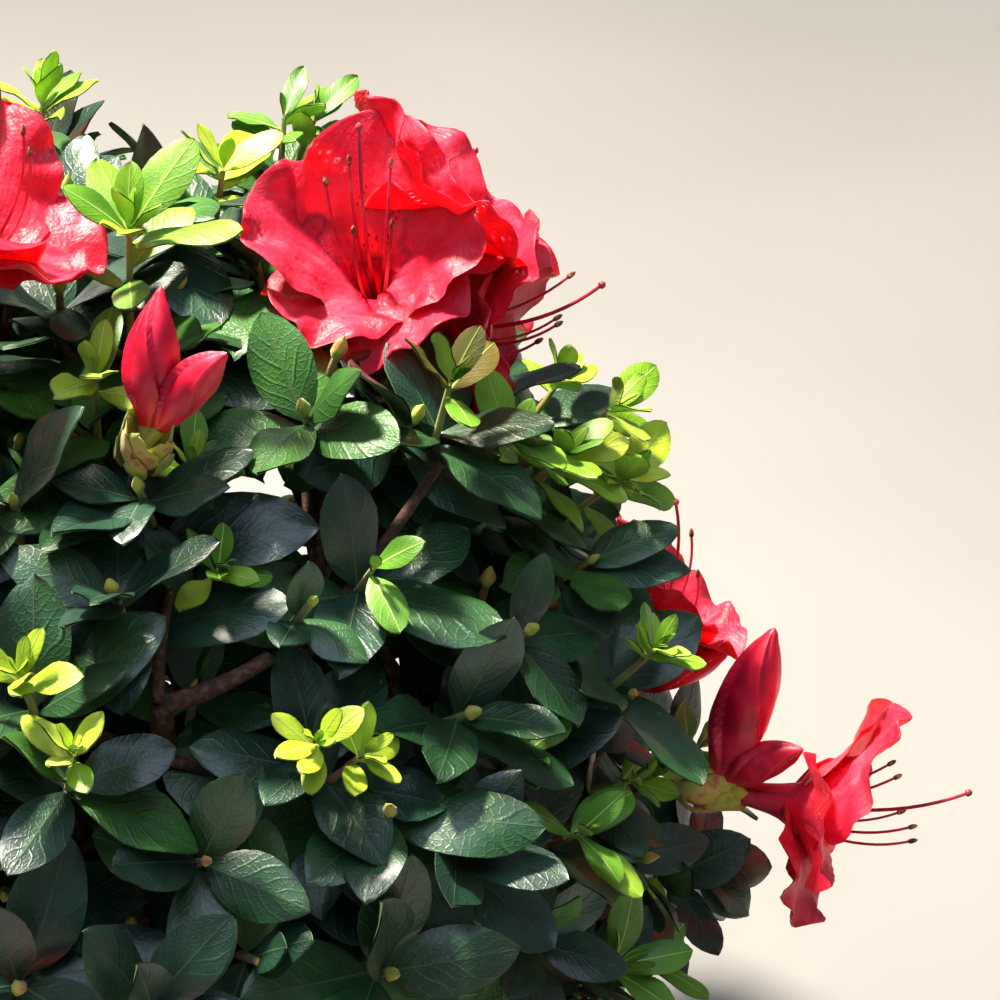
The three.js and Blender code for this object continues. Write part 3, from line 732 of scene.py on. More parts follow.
def leaf_shape(key, young, steps, columns):
    """One variant: how far along, across and up each point lies, and its place on the blade."""
    along = np.array(steps)[:, None]
    base_powers, tip_powers = ((0.76, 0.96), (0.6, 0.76)) if young else ((0.68, 0.84), (0.7, 0.88))
    base_power, tip_power = between(*base_powers, key + 7), between(*tip_powers, key)
    half = leaf_outline(along, base_power, tip_power)
    v = np.linspace(-1, 1, columns)[None, :]
    rim = np.abs(v)
    fold = between(0.12, 0.36, key + 1)
    curl = between(0.12, 0.34, key + 2)
    sweep = between(-0.06, 0.06, key + 3)
    arch = between(0.02, 0.22, key + 4)
    phase = along * between(8, 13, key + 6) + 6 * chance(key + 8) + 2 * v
    wave = between(0.012, 0.035, key + 5) * np.sin(phase)
    parts = [along, v * half + 2 * sweep * along ** 2, 0.08 * along - arch * along ** 2 + wave * rim ** 2,
             0.5 * half * (fold * rim - curl * rim ** 3), 0.5 + 0.5 * v]
    along, across, up_long, up_wide, place = [part.ravel() for part in np.broadcast_arrays(*parts)]
    return {"along": along, "across": across, "up_long": up_long, "up_wide": up_wide,
            "uv": np.stack([along, place], -1), "rows": len(steps), "columns": columns,
            "face": grid_quads(len(steps), columns, flip=True), "back": grid_quads(len(steps), columns)}


BLADE_GRIDS = {False: (LEAF_STEPS, LEAF_COLUMNS), True: (INNER_STEPS, INNER_COLUMNS)}
shapes = {
    (young, inner): [leaf_shape(6000 + 10 * k, young, *blade_grid) for k in range(VARIANTS)]
    for young in (False, True) for inner, blade_grid in BLADE_GRIDS.items()
}
print("leaf variants:", 2 * VARIANTS, "triangles a leaf:", 4 * len(shapes[False, False][0]["face"]))

# %% [markdown]
# ## Room for a leaf
# Leaves lie over each other but don't grow through each other. Each new leaf is tested against those
# that are there: its midrib and its two side edges mustn't pass through another blade, and none of
# theirs through its own. Where it would, the leaf is turned, lifted or made smaller, and if that
# doesn't help it is left out. Blooms, hollows and openings are kept free in the same way.

# %% Room for a leaf
leaves = []
leaf_table = np.zeros((9000, 14))  # root, along, side, face, length and half width of each leaf
LOWEST_LEAF_TIP = 9
# What a leaf tries in turn: more tilt, more spin, share of its size.
POSES = [(0, 0, 1.0), (0, 20, 1.0), (-14, -20, 0.95), (-26, 10, 0.9), (12, -34, 0.85), (-38, 36, 0.8),
         (-8, 60, 0.8)]


def blade_lines(leaf):
    """The midrib and the side edges of a leaf, as starts and ends of five straight lines."""
    root, along, side = leaf[..., 0:3], leaf[..., 3:6], leaf[..., 6:9]
    length, half = leaf[..., 12:13], leaf[..., 13:14]
    foot, tip = root + along * length * 0.08, root + along * length
    middle = root + along * length * 0.5
    left, right = middle - side * half, middle + side * half
    return np.stack([foot, foot, left, foot, right]), np.stack([tip, left, tip, right, tip])


def lines_cut(lines, leaf):
    """Whether any of these lines passes through the blade of a leaf."""
    starts, ends = lines
    root, along, side, face = leaf[..., 0:3], leaf[..., 3:6], leaf[..., 6:9], leaf[..., 9:12]
    before = ((starts - root) * face).sum(-1)
    after = ((ends - root) * face).sum(-1)
    crossing = before * after < 0
    share = np.where(crossing, before / np.where(crossing, before - after, 1.0), 0.0)
    place = starts + share[..., None] * (ends - starts) - root
    lengthwise = (place * along).sum(-1) / leaf[..., 12]
    sideways = np.abs((place * side).sum(-1)) / leaf[..., 13]
    inside = (lengthwise > 0.1) & (lengthwise < 0.98)
    width_there = (4 * np.clip(lengthwise * (1 - lengthwise), 0, 1)) ** 0.7
    return bool(np.any(crossing & inside & (sideways < width_there)))


def has_room(leaf):
    middle, tip = leaf[0:3] + leaf[3:6] * leaf[12] * 0.55, leaf[0:3] + leaf[3:6] * leaf[12]
    if tip[2] < LOWEST_LEAF_TIP or in_bloom(middle) or in_bloom(tip, 1):
        return False
    if in_opening(middle, leaf[13] * 0.8) or in_opening(tip, 1):
        return False
    others = leaf_table[:len(leaves)]
    middles = others[:, 0:3] + others[:, 3:6] * others[:, 12:13] * 0.5
    near = others[np.linalg.norm(middles - middle, axis=1) < (leaf[12] + others[:, 12]) * 0.55]
    if not len(near):
        return True
    starts, ends = blade_lines(leaf)
    return not lines_cut((starts[:, None], ends[:, None]), near) and not lines_cut(blade_lines(near), leaf)


def add_leaf(root, facing, tilt, spin, length, slim, tone, key):
    for more_tilt, more_spin, share in POSES:
        along = tilted(facing, tilt + more_tilt, spin + more_spin)
        face = facing * 0.8 + UP * 0.35
        face = unit(face - along * (face @ along))
        side = np.cross(along, face)
        roll = math.radians(between(-24, 24, key + 0.7 + more_spin))
        face = face * math.cos(roll) + side * math.sin(roll)
        side = np.cross(along, face)
        leaf = np.concatenate([root, along, side, face, [length * share, length * share * slim / 2]])
        if has_room(leaf):
            leaf_table[len(leaves)] = leaf
            leaves.append((root, along, face, length * share, length * share * slim, tone,
                           int(VARIANTS * chance(key + 0.3))))
            return True
    return False


print("poses that a leaf tries:", len(POSES))

# %% [markdown]
# ## Whorls
# Leaves crowd at the end of a shoot and turn by the golden angle from one to the next, so that none
# lies right over another. The inner ones are small and upright, the outer ones large and spread flat.
# Below the whorl a few older leaves sit along the twig. Each leaf tends to hold its face to the sky.
# Named shoots are dressed first, so that the leaves that matter most in the picture find room.

# %% Whorls
green_stems = []
tip_buds = []
left_out = 0


def whorl(base, facing, count, tilts, lengths, tones, key, spacing=1.1, slim=0.54):
    """Leaves from the outermost and lowest to the innermost and highest. Tells how many found no room."""
    missing = 0
    for n in range(count):
        share = n / max(1, count - 1)
        k = key * 17.3 + n * 3.1
        tilt = tilts[0] + (tilts[1] - tilts[0]) * share + between(-10, 10, k)
        length = (lengths[0] + (lengths[1] - lengths[0]) * share) * between(0.86, 1.12, k + 1)
        spin = GOLDEN_ANGLE * n + 360 * chance(key + 0.5) + between(-14, 14, k + 2)
        tone = tones[0] if chance(k + 4) < 0.7 else tones[int(len(tones) * chance(k + 5))]
        width = between(slim - 0.06, slim + 0.06, k + 6)
        missing += not add_leaf(base + facing * spacing * n, facing, tilt, spin, length, width, tone, k)
    return missing


# Count, largest leaf and tones of the new growth on each kind of shoot.
YOUNG = {
    "tall": (9, 25, ["fresh", "lime", "light"]), "young": (8, 20, ["fresh", "lime", "light"]),
    "broad": (5, 24, ["lime", "fresh"]), "bronze": (7, 20, ["bronze", "light"]),
    "lime": (9, 14, ["lime", "fresh", "lime"]), "green": (7, 21, ["light", "fresh"]),
    "pair": (3, 16, ["light"]), "small": (11, 14, ["fresh", "lime", "light"]),
    "tip": (4, 18, ["light", "fresh"]), "grown": (8, 15, ["fresh", "light", "lime"]),
    "fine": (8, 14, ["light", "fresh", "lime"]),
}
OLD_TONES = [["deep", "dark"], ["dark", "deep"], ["deep", "dark", "mid"], ["dark", "mid"]]
SPRIG_LEAF = 24
PAINTED_SUNLIGHT_HEIGHT = 290
for shoot in sorted(shoots, key=lambda s: s["kind"] in ("grown", "fine")):
    key, kind, facing = shoot["key"], shoot["kind"], shoot["facing"]
    old_tones = OLD_TONES[int(4 * chance(key + 0.6))]
    # Above this height a share of the shoots get lighter mid-green old leaves: painted sunlight on the top of
    # the crown.
    if kind in ("young", "tall") or (shoot["tip"][2] > PAINTED_SUNLIGHT_HEIGHT and chance(key + 0.65) < 0.3):
        old_tones = ["mid", "dark"]
    if kind in ("pair", "bronze", "small", "sprig"):
        old_tones = ["dark", "deep"]
    size = SPRIG_LEAF if kind == "sprig" else between(29, 39, key + 0.1)
    base = shoot["base"] + facing * 3
    end = base + facing * 8
    soft = kind in YOUNG and (kind not in ("grown", "fine") or chance(key + 0.9) < 0.3)
    if soft:
        count, big, tones = YOUNG[kind]
        growth = shoot.get("growth", between(4, 12, key + 0.15))
        top = end + facing * growth
        green_stems.append((end - facing * 6, end + facing * growth * 0.5, top, 1.0, 0.7))
        outer = count // 2
        left_out += whorl(top, facing, count - outer, (44, 8), (big * 0.86, big * 0.4), tones, key + 37,
                          spacing=0.7, slim=0.42)
        left_out += whorl(top - facing * 3, facing, outer, (72, 52), (big, big * 0.95), tones, key + 31,
                          spacing=1.2, slim=0.47)
        if growth > 12:
            left_out += whorl(end + facing * growth * 0.45, facing, 3, (70, 60), (big * 0.9, big * 0.9),
                              tones, key + 43, spacing=3.0, slim=0.44)
    else:
        green_stems.append((shoot["base"], base + facing * 4, end + facing * 2, 1.2, 0.9))
        tip_buds.append((end + facing * 1.5, facing, between(4.0, 6.5, key + 0.35)))
    if kind == "sprig":
        left_out += whorl(base, facing, 3, (86, 50), (size, size * 0.76), old_tones, key)
        continue
    count = 5 if soft else 6 + int(2.6 * chance(key + 0.2))
    left_out += whorl(base, facing, count, (86, 50), (size, size * 0.76), old_tones, key)
    for n in range(3):
        k = key * 5.7 + n
        root = shoot["base"] - facing * (6 + 9 * n)
        tilt, spin, length = between(66, 104, k), 360 * chance(k + 0.4), between(26, 37, k + 0.8)
        left_out += not add_leaf(root, facing, tilt, spin, length, 0.54, old_tones[0], k)
print("leaves:", len(leaves), "left out:", left_out)
print("soft stems:", len(green_stems), "tip buds:", len(tip_buds))

# %% [markdown]
# ## Leaf surfaces
# A grown leaf has a waxed skin: dark blue-green, glossy in broad patches, quilted between side veins
# that leave the midrib every 4 mm or so and bend towards the tip, with a fine net of small veins between
# them. All are a bump: the side veins are drawn from how far a point is along the leaf and off its
# midrib, and the net is the edges of small cells. Young leaves are thinner, lighter and softer, and
# light goes through them, which subsurface scattering imitates. Each tone is dealt out leaf by leaf.

# %% Leaf surfaces
def leaf_skin(name, stops, roughness, gloss, through, veins=0.3):
    material, tree, shader = new_material(name)
    blade, place = coordinates(tree, "UV"), coordinates(tree, "Object")
    uv = add_node(tree, "ShaderNodeSeparateXYZ", i0=blade)
    off_rib = calculate(tree, "ABSOLUTE", calculate(tree, "SUBTRACT", uv.outputs["Y"], 0.5))
    wander = add_node(tree, "ShaderNodeTexNoise", Vector=place, Scale=110.0, Detail=1.0).outputs["Fac"]
    slant = calculate(tree, "MULTIPLY_ADD", off_rib, -3.8, calculate(tree, "MULTIPLY", uv.outputs["X"], 6.5))
    wave = calculate(tree, "PINGPONG", calculate(tree, "MULTIPLY_ADD", wander, 1.3, slant), 0.5)
    cell_scale = add_node(tree, "ShaderNodeMapping", Vector=blade, Scale=(19, 10, 1)).outputs["Vector"]
    net = add_node(tree, "ShaderNodeTexVoronoi", {"feature": "DISTANCE_TO_EDGE", "voronoi_dimensions": "2D"},
                   Vector=cell_scale, Scale=1.0).outputs["Distance"]
    quilt, rib, cells = (
        add_node(tree, "ShaderNodeMapRange", {"interpolation_type": "SMOOTHSTEP"}, Value=value,
                 From_Min=0.0, From_Max=furrow).outputs[0]
        for value, furrow in ((wave, 0.16), (off_rib, 0.1), (net, 0.2)))
    height = calculate(tree, "MULTIPLY_ADD", cells, 0.45, calculate(tree, "MULTIPLY", quilt, rib))
    patches = add_node(tree, "ShaderNodeTexNoise", Vector=place, Scale=38.0, Detail=3.0, Roughness=0.6)
    set_inputs(shader, Base_Color=ramp(tree, patches.outputs["Fac"], stops),
               Normal=bumped(tree, veins, 0.0005, height), Roughness=roughness,
               Coat_Weight=gloss, Coat_Roughness=0.28)
    if through:
        set_inputs(shader, Subsurface_Weight=through, Subsurface_Radius=(0.6, 1.0, 0.2),
                   Subsurface_Scale=0.0015)
    return material


# Colours, roughness, gloss of the wax, share of the light that goes through.
TONES = {
    "deep": (("#122c20", "#1a3d2c", "#28543c"), 0.42, 0.75, 0.0),
    "dark": (("#14311a", "#1f4a24", "#2f6130"), 0.42, 0.7, 0.0),
    "mid": (("#27501c", "#386c26", "#4c8430"), 0.42, 0.25, 0.0),
    "light": (("#467a1c", "#5f9826", "#7ab032"), 0.45, 0.15, 0.25),
    "fresh": (("#6a9c1e", "#8cbc2c", "#a8d042"), 0.45, 0.12, 0.35),
    "lime": (("#98b81e", "#bcd834", "#d6e858"), 0.46, 0.1, 0.4),
    "bronze": (("#5a5a22", "#7c6a2c", "#8c8a3c"), 0.45, 0.15, 0.15),
}
YOUNG_TONES = ("light", "fresh", "lime", "bronze")
backs = {
    False: leaf_skin("leaf_back_downy", [(0.3, "#45603a"), (0.6, "#5f7c4c")], 0.7, 0.0, 0.0),
    True: leaf_skin("young_leaf_back", [(0.3, "#84a040"), (0.6, "#a8c25c")], 0.65, 0.0, 0.3),
}
LEAVES_IN_PIECE = 1000
INNER_SHARE = 0.8  # leaves nearer the crown's centre than this get the coarser blade
rib_pieces = {False: Piece(), True: Piece()}
rib_quads = grid_quads(len(LEAF_STEPS), 2, flip=True)
rib_uv = np.zeros((2 * len(LEAF_STEPS), 2))
for tone, (colours, roughness, gloss, through) in TONES.items():
    young = tone in YOUNG_TONES
    skin = leaf_skin(f"{'young' if young else 'waxed'}_leaf_{tone}", list(zip((0.34, 0.5, 0.66), colours)),
                     roughness, gloss, through, veins=0.2 if young else 0.3)
    own = [leaf for leaf in leaves if leaf[5] == tone]
    for part in range(0, len(own), LEAVES_IN_PIECE):
        piece = Piece()
        for root, along, face, length, width, _, variant in own[part:part + LEAVES_IN_PIECE]:
            side = np.cross(along, face)
            middle = (root + along * length * 0.5 - CROWN_CENTRE) / [CROWN_RADIUS, CROWN_RADIUS, CROWN_RISE]
            inner = np.linalg.norm(middle) < INNER_SHARE
            shape = shapes[young, inner][variant]
            points = (root + (shape["along"] * length)[:, None] * along
                      + (shape["across"] * width / 2)[:, None] * side
                      + (shape["up_long"] * length + shape["up_wide"] * width)[:, None] * face)
            piece.add(points, shape["face"], shape["uv"], 0)
            piece.add(points - LEAF_THICKNESS * face, shape["back"], shape["uv"], 1)
            if inner:
                continue
            ridge = points.reshape(shape["rows"], shape["columns"], 3)[:, LEAF_COLUMNS // 2] + face * 0.1
            half = np.linspace(0.3, 0.05, len(LEAF_STEPS))[:, None] * side
            rib_pieces[young].add(np.stack([ridge - half, ridge + half], 1), rib_quads, rib_uv)
        piece.build(f"leaves_{tone}_{part // LEAVES_IN_PIECE + 1}", [skin, backs[young]], "foliage")

pale_rib = leaf_skin("leaf_midrib_pale", [(0.3, "#33502f"), (0.6, "#57704a")], 0.5, 0.1, 0.0)
young_rib = leaf_skin("young_leaf_midrib", [(0.3, "#a4c056"), (0.6, "#c6dc7c")], 0.5, 0.1, 0.0)
rib_pieces[False].build("leaf_midribs", [pale_rib], "foliage")
rib_pieces[True].build("young_leaf_midribs", [young_rib], "foliage")

# %% [markdown]
# ## Soft stems and tip buds
# Under each whorl the twig turns green and downy, with a red flush. Where no new shoot has started it
# ends in a scaly bud. Both are small, so a seven-sided tube and a short spindle are enough. The down is
# a fine bump with a little sheen over it, and the papery scales run from green to straw and orange.

# %% Soft stems and tip buds
soft_piece, bud_piece = Piece(), Piece()


def three_ridged(i, angles):
    return 1 + 0.12 * np.cos(3 * angles + i)


for start, bend, end, start_radius, end_radius in green_stems:
    path = bezier(start, bend, end, np.linspace(0, 1, 6))
    soft_piece.add(*tube(path, np.linspace(start_radius, end_radius, 6), 7))
for root, facing, length in tip_buds:
    steps = np.linspace(0, 1, 6)
    path = root + steps[:, None] * facing * length
    radii = length * np.array([0.16, 0.27, 0.29, 0.24, 0.14, 0.01])
    bud_piece.add(*tube(path, radii, 8, three_ridged))

soft_stem = clouded("soft_stem_downy", 60.0, 3.0, [(0.35, "#6f7f33"), (0.52, "#8f9440"), (0.66, "#94603a")],
                    Roughness=0.65, Sheen_Weight=0.3)
tree = soft_stem.node_tree
down = add_node(tree, "ShaderNodeTexNoise", Vector=coordinates(tree, "Object"), Scale=1800.0).outputs["Fac"]
set_inputs(tree.nodes["Principled BSDF"], Normal=bumped(tree, 0.4, 0.0003, down))
scales = clouded("bud_scales_papery", 190.0, 4.0,
                 [(0.36, "#94a630"), (0.46, "#c2c644"), (0.56, "#e0c65c"), (0.66, "#d47a44")],
                 emboss=(0.5, 0.0004), Roughness=0.6, Sheen_Weight=0.25)

twig_piece.build("fine_twigs", [twig_bark], "bark", FOLIAGE_NODES)
soft_piece.build("soft_green_stems", [soft_stem], "foliage")
bud_piece.build("tip_buds", [scales], "foliage")

# %% [markdown]
# ## Lobes round a flower's axis
# Petals and bud scales are both lobes that rise round an axis. Each is first worked out flat, as a
# distance outwards, sideways and up at every point, and one function turns that to its place round the
# axis. A second one gives such a sheet its thickness, by a copy on each side of it that come together
# at the rim.

# %% Lobes round a flower's axis
def flower_frame(facing):
    """Two directions across the flower: its upper side, and the side next to it."""
    upper = unit(UP - facing * (UP @ facing)) if abs(facing @ UP) < 0.98 else np.array([0.0, 1.0, 0.0])
    return upper, np.cross(facing, upper)


def ease(values, start, end):
    t = np.clip((values - start) / (end - start), 0, 1)
    return t * t * (3 - 2 * t)


def lobe_points(centre, facing, turn, outward, sideways, height):
    upper, beside = flower_frame(facing)
    t = math.radians(turn)
    out = upper * math.cos(t) + beside * math.sin(t)
    return (centre + outward[..., None] * out + sideways[..., None] * np.cross(facing, out)
            + height[..., None] * facing)


def sheet_with_back(piece, points, uv, thickness, face_slot=0):
    """A sheet with thickness: a copy of the points on each side of it, closer together at the rim."""
    rows, columns = points.shape[:2]
    du, dv = np.gradient(points, axis=0), np.gradient(points, axis=1)
    normal = np.cross(du, dv)
    normal /= np.maximum(np.linalg.norm(normal, axis=-1, keepdims=True), 1e-9)
    taper = np.ones((rows, columns, 1))
    taper[:, [0, -1]] = 0.2
    taper[-1] = 0.2
    quads = grid_quads(rows, columns)
    piece.add(points + normal * thickness / 2 * taper, quads[:, ::-1], uv, face_slot)
    piece.add(points - normal * thickness / 2 * taper, quads, uv, face_slot)


print("the upper side of a flower that faces the viewer:", flower_frame(np.array([0.0, -1.0, 0.0]))[0])

# %% [markdown]
# ## Blooms
# The flower is one funnel that splits into five broad lobes, 72 mm across when open. Low down a lobe
# follows the round tube, and further out it flattens and leans away from the axis. The upper lobe is a
# little longer than the others. Each overlaps the next, has a crease down its middle, and ruffles that
# grow towards its rim. Dark speckles lie near the throat of the upper lobe. Five stamens and a longer
# pistil spring from the throat, bend towards the upper lobe and turn up at their tips.

# %% Blooms
PETAL_LENGTH = 52
LOBE_HALF_WIDTH = 19.5
PETAL_THICKNESS = 0.4
PETAL_ROWS = 26
PETAL_COLUMNS = 17
SPECKLES = 46
PISTIL_LENGTH = 66
profile_steps = np.linspace(0, 1, 241)


def petal_surface(s, v, bloom, turn, key, off=0.0):
    """Points of one lobe: s runs from its foot to its tip, v from one side to the other."""
    size = bloom["size"]
    flare = bloom["flare"] - 11 * math.cos(math.radians(turn)) + between(-7, 7, key + 0.1)
    recurve = between(-22, 14, key + 0.2)
    lean = 8 + (flare - 8) * ease(profile_steps, 0.18, 0.72) + recurve * ease(profile_steps, 0.74, 1.0)
    step = PETAL_LENGTH * size * (1 + 0.13 * math.cos(math.radians(turn))) / (len(profile_steps) - 1)
    radius_curve = 2.2 + np.concatenate([[0], np.cumsum(np.sin(np.radians(lean[:-1])) * step)])
    height_curve = np.concatenate([[0], np.cumsum(np.cos(np.radians(lean[:-1])) * step)])
    radius = np.interp(s, profile_steps, radius_curve)
    height = np.interp(s, profile_steps, height_curve)
    theta = np.radians(np.interp(s, profile_steps, lean))

    limb = ease(s, 0.3, 0.55)
    tube_half = 0.72 * radius * (1 - ease(s, 0.3, 0.42))
    from_widest = (s - 0.67) / np.where(s < 0.67, 0.40, 0.33)
    limb_half = LOBE_HALF_WIDTH * size * np.sqrt(np.clip(1 - from_widest ** 2, 0, 1))
    half = np.sqrt(tube_half ** 2 + (limb_half * ease(s, 0.26, 0.44)) ** 2)
    bending = radius * (1 + 1.5 * limb ** 2)
    angle = v * half / np.maximum(bending, 0.5)
    sideways = bending * np.sin(angle)
    outward = radius - bending * (1 - np.cos(angle))

    p = [2 * math.pi * chance(key + k) for k in range(6)]
    along_limb = (s - 0.62) * PETAL_LENGTH
    round_rim = np.arctan2(v * half, along_limb + 1e-6)
    to_rim = np.clip(np.sqrt(v ** 2 + np.clip((s - 0.62) / 0.38, 0, 1) ** 2), 0, 1)
    ruffle = between(2.4, 3.4, key + 0.3) * limb * to_rim ** 2
    waves = (0.7 * np.sin(4 * round_rim + p[0]) + 0.5 * np.sin(9 * round_rim + p[1])
             + 0.2 * np.sin(15 * round_rim + p[2]))
    w = v * half / (LOBE_HALF_WIDTH * size)
    folds = 0.45 * np.sin(8.5 * w + p[3] + 2 * s) + np.sin(2.6 * w + p[4] + 3 * s) * ease(s, 0.4, 0.8)
    crease = -0.9 * np.exp(-(w / 0.13) ** 2) * (1 - 0.6 * ease(s, 0.8, 1.0))
    bowl = between(-3.2, 2.4, key + 0.5) * w ** 2
    overlap = 1.8 * w
    lift = size * (ruffle * waves + limb * (folds + crease + bowl + overlap)) + off
    outward = outward - np.cos(theta) * lift
    height = height + np.sin(theta) * lift
    sideways = sideways + size * 0.9 * limb * np.sin(6 * s + p[5]) * v
    notch = between(0.3, 1.6, key + 0.6) * size * np.exp(-(w / 0.2) ** 2) * ease(s, 0.86, 1.0)
    outward = outward - np.sin(theta) * notch
    height = height - np.cos(theta) * notch
    return lobe_points(bloom["throat"], bloom["facing"], turn, outward, sideways, height)


petal_piece, spot_piece, thread_piece, anther_piece = Piece(), Piece(), Piece(), Piece()
# Rows and columns lie closer together towards the rim, where the ruffles are.
petal_rows = (1 - (1 - np.linspace(0, 1, PETAL_ROWS)) ** 1.7)[:, None]
widest_angle = math.pi / 2 * 0.86
petal_columns = np.sin(np.linspace(-1, 1, PETAL_COLUMNS) * widest_angle)[None, :] / math.sin(widest_angle)
petal_uv = np.stack(np.broadcast_arrays(petal_rows, 0.5 + 0.5 * petal_columns), -1)
for n, bloom in enumerate(blooms):
    throat, facing = bloom["throat"], bloom["facing"]
    upper, beside = flower_frame(facing)
    for k in range(5):
        key = 7000 + 40 * n + 7 * k
        turn = 72 * k + between(-5, 5, key + 0.7)
        s, v = np.broadcast_arrays(petal_rows, petal_columns)
        sheet_with_back(petal_piece, petal_surface(s, v, bloom, turn, key), petal_uv, PETAL_THICKNESS)
        if k:
            continue
        for dot in range(SPECKLES):
            mark = key * 3.1 + dot
            along = between(0.3, 0.66, mark)
            aside = between(-0.34, 0.34, mark + 0.4) * (1 - 0.5 * (along - 0.3))
            s = along + between(0.006, 0.012, mark + 0.6) * np.linspace(-1, 1, 3)[:, None] + np.zeros((3, 3))
            v = aside + np.linspace(-1, 1, 3)[None, :] * 0.016 * np.array([[0.5], [1.0], [0.5]])
            spot = petal_surface(s, v, bloom, turn, key, off=PETAL_THICKNESS / 2 + 0.06)
            spot_piece.add(spot, grid_quads(3, 3), np.zeros((9, 2)))
            spot_piece.add(spot, grid_quads(3, 3, flip=True), np.zeros((9, 2)))
    for k in range(6):
        key = 7700 + 13 * n + k
        pistil = k == 0
        length = (PISTIL_LENGTH if pistil else between(42, 54, key)) * bloom["size"] * bloom["threads"]
        spin = math.radians(72 * k + 40 * chance(key + 0.3))
        spread = 3 if pistil else 7
        aside = (upper * math.cos(spin) + beside * math.sin(spin)) * spread
        start = throat + facing * 6 + aside * 0.2
        bend = throat + facing * length * 0.62 + aside - upper * 5
        end = throat + facing * length * 0.97 + aside * 1.3 + upper * (9 if pistil else 6)
        path = bezier(start, bend, end, np.linspace(0, 1, 14))
        thread_piece.add(*tube(path, np.linspace(0.48, 0.34, 14) * (1.25 if pistil else 1), 6))
        head_length, head_radius = (1.6, 0.95) if pistil else (2.3, 0.66)
        head = np.linspace(-0.3, 1, 6)[:, None] * unit(path[-1] - path[-2]) * head_length
        radii = np.array([0.05, 0.9, 1.0, 0.95, 0.7, 0.05]) * head_radius
        anther_piece.add(*tube(path[-1] + head, radii, 8), face_slot=0 if pistil else 1)
print("petals:", 5 * len(blooms), "threads:", 6 * len(blooms))

# %% [markdown]
# ## Closed buds and bud scales
# A closed bud is the same five petals, still rolled round each other, so its surface is a spindle with
# slanting furrows. Buds and blooms spring from a cup of papery scales, yellow-green with brown and
# orange tips, that lie over each other like tiles.

# %% Closed buds and bud scales
BUD_STEPS = 40
SCALE_LENGTH = 15
closed_piece, cup_piece, stalk_piece = Piece(), Piece(), Piece()
scale_rows = np.linspace(0, 1, 9)[:, None]
scale_columns = np.linspace(-1, 1, 7)[None, :]
scale_uv = np.stack(np.broadcast_arrays(scale_rows, 0.5 + 0.5 * scale_columns), -1)


def scale_surface(base, facing, turn, key, spread, size):
    """One bud scale: a spoon that hugs the cup."""
    s, v = scale_rows, scale_columns
    radius = spread * np.interp(s, [0, 0.22, 0.5, 0.78, 1], [2.0, 4.7, 5.9, 5.7, 5.6 + 0.6 * chance(key)])
    height = SCALE_LENGTH * size * s
    half = size * np.interp(s, [0, 0.2, 0.5, 0.75, 0.92, 1], [2.0, 3.4, 3.9, 3.2, 1.6, 0.2])
    angle = v * half / (radius * 1.1)
    lift = 0.35 * v + 0.25 * np.sin(5 * s + 6 * chance(key + 0.5)) * v
    sideways, outward, height = np.broadcast_arrays(
        radius * 1.1 * np.sin(angle), radius - radius * 1.1 * (1 - np.cos(angle)) + lift, height)
    return lobe_points(base, facing, turn, outward, sideways, height)


for truss_number, truss in enumerate(trusses):
    for n, (facing, length) in enumerate(truss["buds"]):
        key = 8200 + 19 * truss_number + n
        root = truss["heart"] + BLOOM_OFFSET * facing
        share = np.linspace(0, 1, BUD_STEPS)
        widths = np.interp(share, [0, 0.1, 0.34, 0.6, 0.8, 0.93, 1], [2.0, 3.6, 6.5, 6.0, 4.0, 1.9, 0.3])
        widths = np.convolve(np.pad(widths, 3, "edge"), np.ones(7) / 7, "valid") * (length / 36) ** 0.8
        widths[-1] = 0.2
        upper, beside = flower_frame(facing)
        bow = np.sin(share * math.pi)[:, None] * (upper * 1.2 + beside * between(-1.5, 1.5, key))
        path = root + share[:, None] * facing * length + bow

        def furled(i, angles, key=key):
            roll = angles * 4 / (2 * math.pi) + i * 0.028 + chance(key + 0.4)
            edge = roll % 1
            grown = min(1, i / 9) * min(1, (BUD_STEPS + 1 - i) / 6)
            ridge = np.exp(-((edge - 0.93) / 0.09) ** 2) - 0.9 * np.exp(-((edge - 0.06) / 0.06) ** 2)
            return 1 + grown * (0.2 * (edge - 0.5) + 0.09 * ridge) + 0.05 * np.cos(2 * angles + i * 0.06)

        closed_piece.add(*tube(path, widths, 64, furled))
    base = truss["cup"] - 3 * truss["facing"]
    for ring, (count, size, first_turn) in enumerate([(5, 0.8, 0), (6, 0.95, 36), (6, 0.92, 10)]):
        foot = base + truss["facing"] * 2.2 * ring
        for k in range(count):
            key = 8600 + 31 * truss_number + 9 * ring + k
            points = scale_surface(foot, truss["facing"], 360 / count * k + first_turn, key,
                                   1.08 - 0.1 * ring, size * between(0.9, 1.1, key + 0.1))
            sheet_with_back(cup_piece, points, scale_uv, 0.5)
    stalk = truss["foot"] + np.linspace(-0.05, 1, 6)[:, None] * truss["facing"] * (CUP_START + 3)
    stalk_piece.add(*tube(stalk, np.linspace(1.75, 2.2, 6), 10))
    for facing, *_ in truss["blooms"] + truss["buds"]:
        pedicel = truss["heart"] + np.linspace(-0.8, 1.3, 6)[:, None] * facing * BLOOM_OFFSET
        stalk_piece.add(*tube(pedicel, np.linspace(1.6, 2.1, 6), 9))
print("closed buds:", sum(len(t["buds"]) for t in trusses))

# %% [markdown]
# ## Petal surfaces
# A petal is a thin wet tissue: light passes through it and comes out redder, its skin has a fine satin
# sheen, and veins fan out from the throat. Folds look crimson and thin rims look pink. The colour runs
# along the petal with its own noise, a fine crinkle and the veins are a bump, and subsurface scattering
# lets light through the 0.4 mm sheet. The furled petals of a closed bud are the same tissue, deeper in
# colour and smoother.

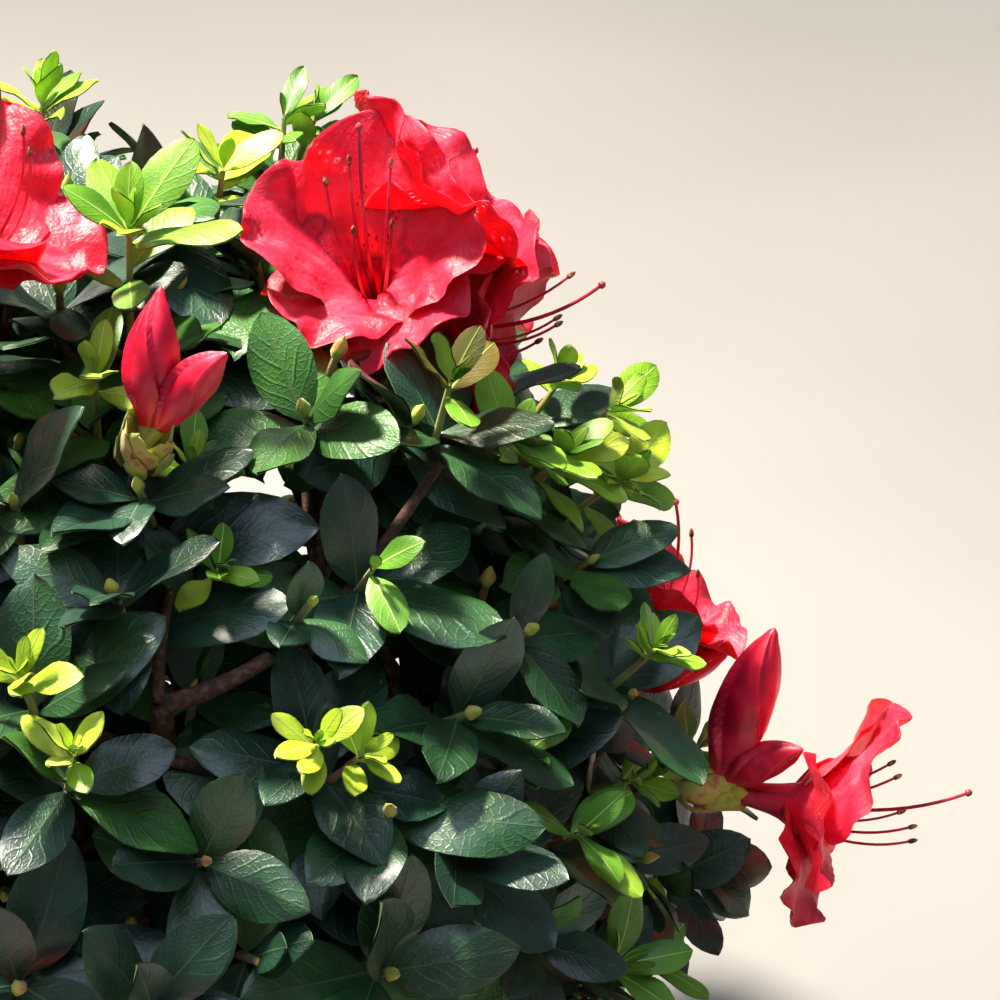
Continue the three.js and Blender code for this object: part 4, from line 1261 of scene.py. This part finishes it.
# %% Petal surfaces
petal, tree, shader = new_material("petal_red_satin")
uv = add_node(tree, "ShaderNodeSeparateXYZ", i0=coordinates(tree, "UV"))
place = coordinates(tree, "Object")
fan = add_node(tree, "ShaderNodeCombineXYZ", i0=calculate(tree, "MULTIPLY", uv.outputs["X"], 2.2),
               i1=calculate(tree, "MULTIPLY", uv.outputs["Y"], 17.0)).outputs[0]
veins, cloud, crinkle = (
    add_node(tree, "ShaderNodeTexNoise", Vector=vector, Scale=scale, Detail=detail,
             Roughness=0.6).outputs["Fac"]
    for vector, scale, detail in ((fan, 1.0, 3.0), (place, 80.0, 4.0), (place, 330.0, 4.0)))
mix = calculate(tree, "MULTIPLY_ADD", veins, 0.3, calculate(tree, "MULTIPLY", cloud, 0.7))
petal_stops = [(0.34, "#d00c2a"), (0.46, "#ee2240"), (0.58, "#fa3a54"), (0.72, "#ff6c82")]
set_inputs(shader, Base_Color=ramp(tree, mix, petal_stops),
           Normal=bumped(tree, 0.65, 0.0009, calculate(tree, "MULTIPLY_ADD", veins, 0.4, crinkle)),
           Roughness=0.42, Specular_IOR_Level=0.38, Sheen_Weight=0.06, Sheen_Tint=linear("#ff98a8"),
           Subsurface_Weight=0.62, Subsurface_Radius=(1.0, 0.28, 0.24), Subsurface_Scale=0.0026)

furled_petal = clouded("furled_petal_crimson", 120.0, 4.0,
                       [(0.3, "#b4042a"), (0.48, "#d80e36"), (0.62, "#ee2448"), (0.76, "#f8607c")],
                       emboss=(0.4, 0.0005), Roughness=0.42, Coat_Weight=0.15, Subsurface_Weight=0.35,
                       Subsurface_Radius=(1.0, 0.2, 0.15), Subsurface_Scale=0.003)
speckle = clouded("petal_speckle_maroon", 300.0, 2.0, [(0.3, "#70001a"), (0.7, "#a00020")], Roughness=0.5)
thread = clouded("stamen_thread_red", 90.0, 2.0, [(0.35, "#a80a28"), (0.6, "#d8304c"), (0.75, "#ec7080")],
                 Roughness=0.4)
stigma = clouded("stigma_sticky_rose", 400.0, 2.0, [(0.35, "#a01830"), (0.65, "#d85a6a")], Roughness=0.25)
pollen = clouded("anther_pollen_dusty", 700.0, 4.0, [(0.36, "#4c1a1c"), (0.52, "#8a4634"), (0.66, "#d0a868")],
                 Roughness=0.8)

petal_piece.build("petals", [petal], "petals", FLOWER_NODES)
spot_piece.build("petal_speckles", [speckle], "petals")
thread_piece.build("stamens_and_pistils", [thread], "petals")
anther_piece.build("anthers_and_stigmas", [stigma, pollen], "petals")
closed_piece.build("closed_buds", [furled_petal], "petals")
cup_piece.build("bud_scale_cups", [scales], "petals")
stalk_piece.build("flower_stalks", [soft_stem], "petals")

# %% [markdown]
# ## Floor finish
# The floor is a pale matt board with a faint cloudiness, so that it doesn't look like a flat fill.

# %% Floor finish
board = clouded("pale_matt_board", 3.0, 2.0, [(0.3, "#9a9895"), (0.7, "#a3a19e")], Roughness=0.9)
floor_mesh.materials.append(board)
print("floor finish:", board.name)
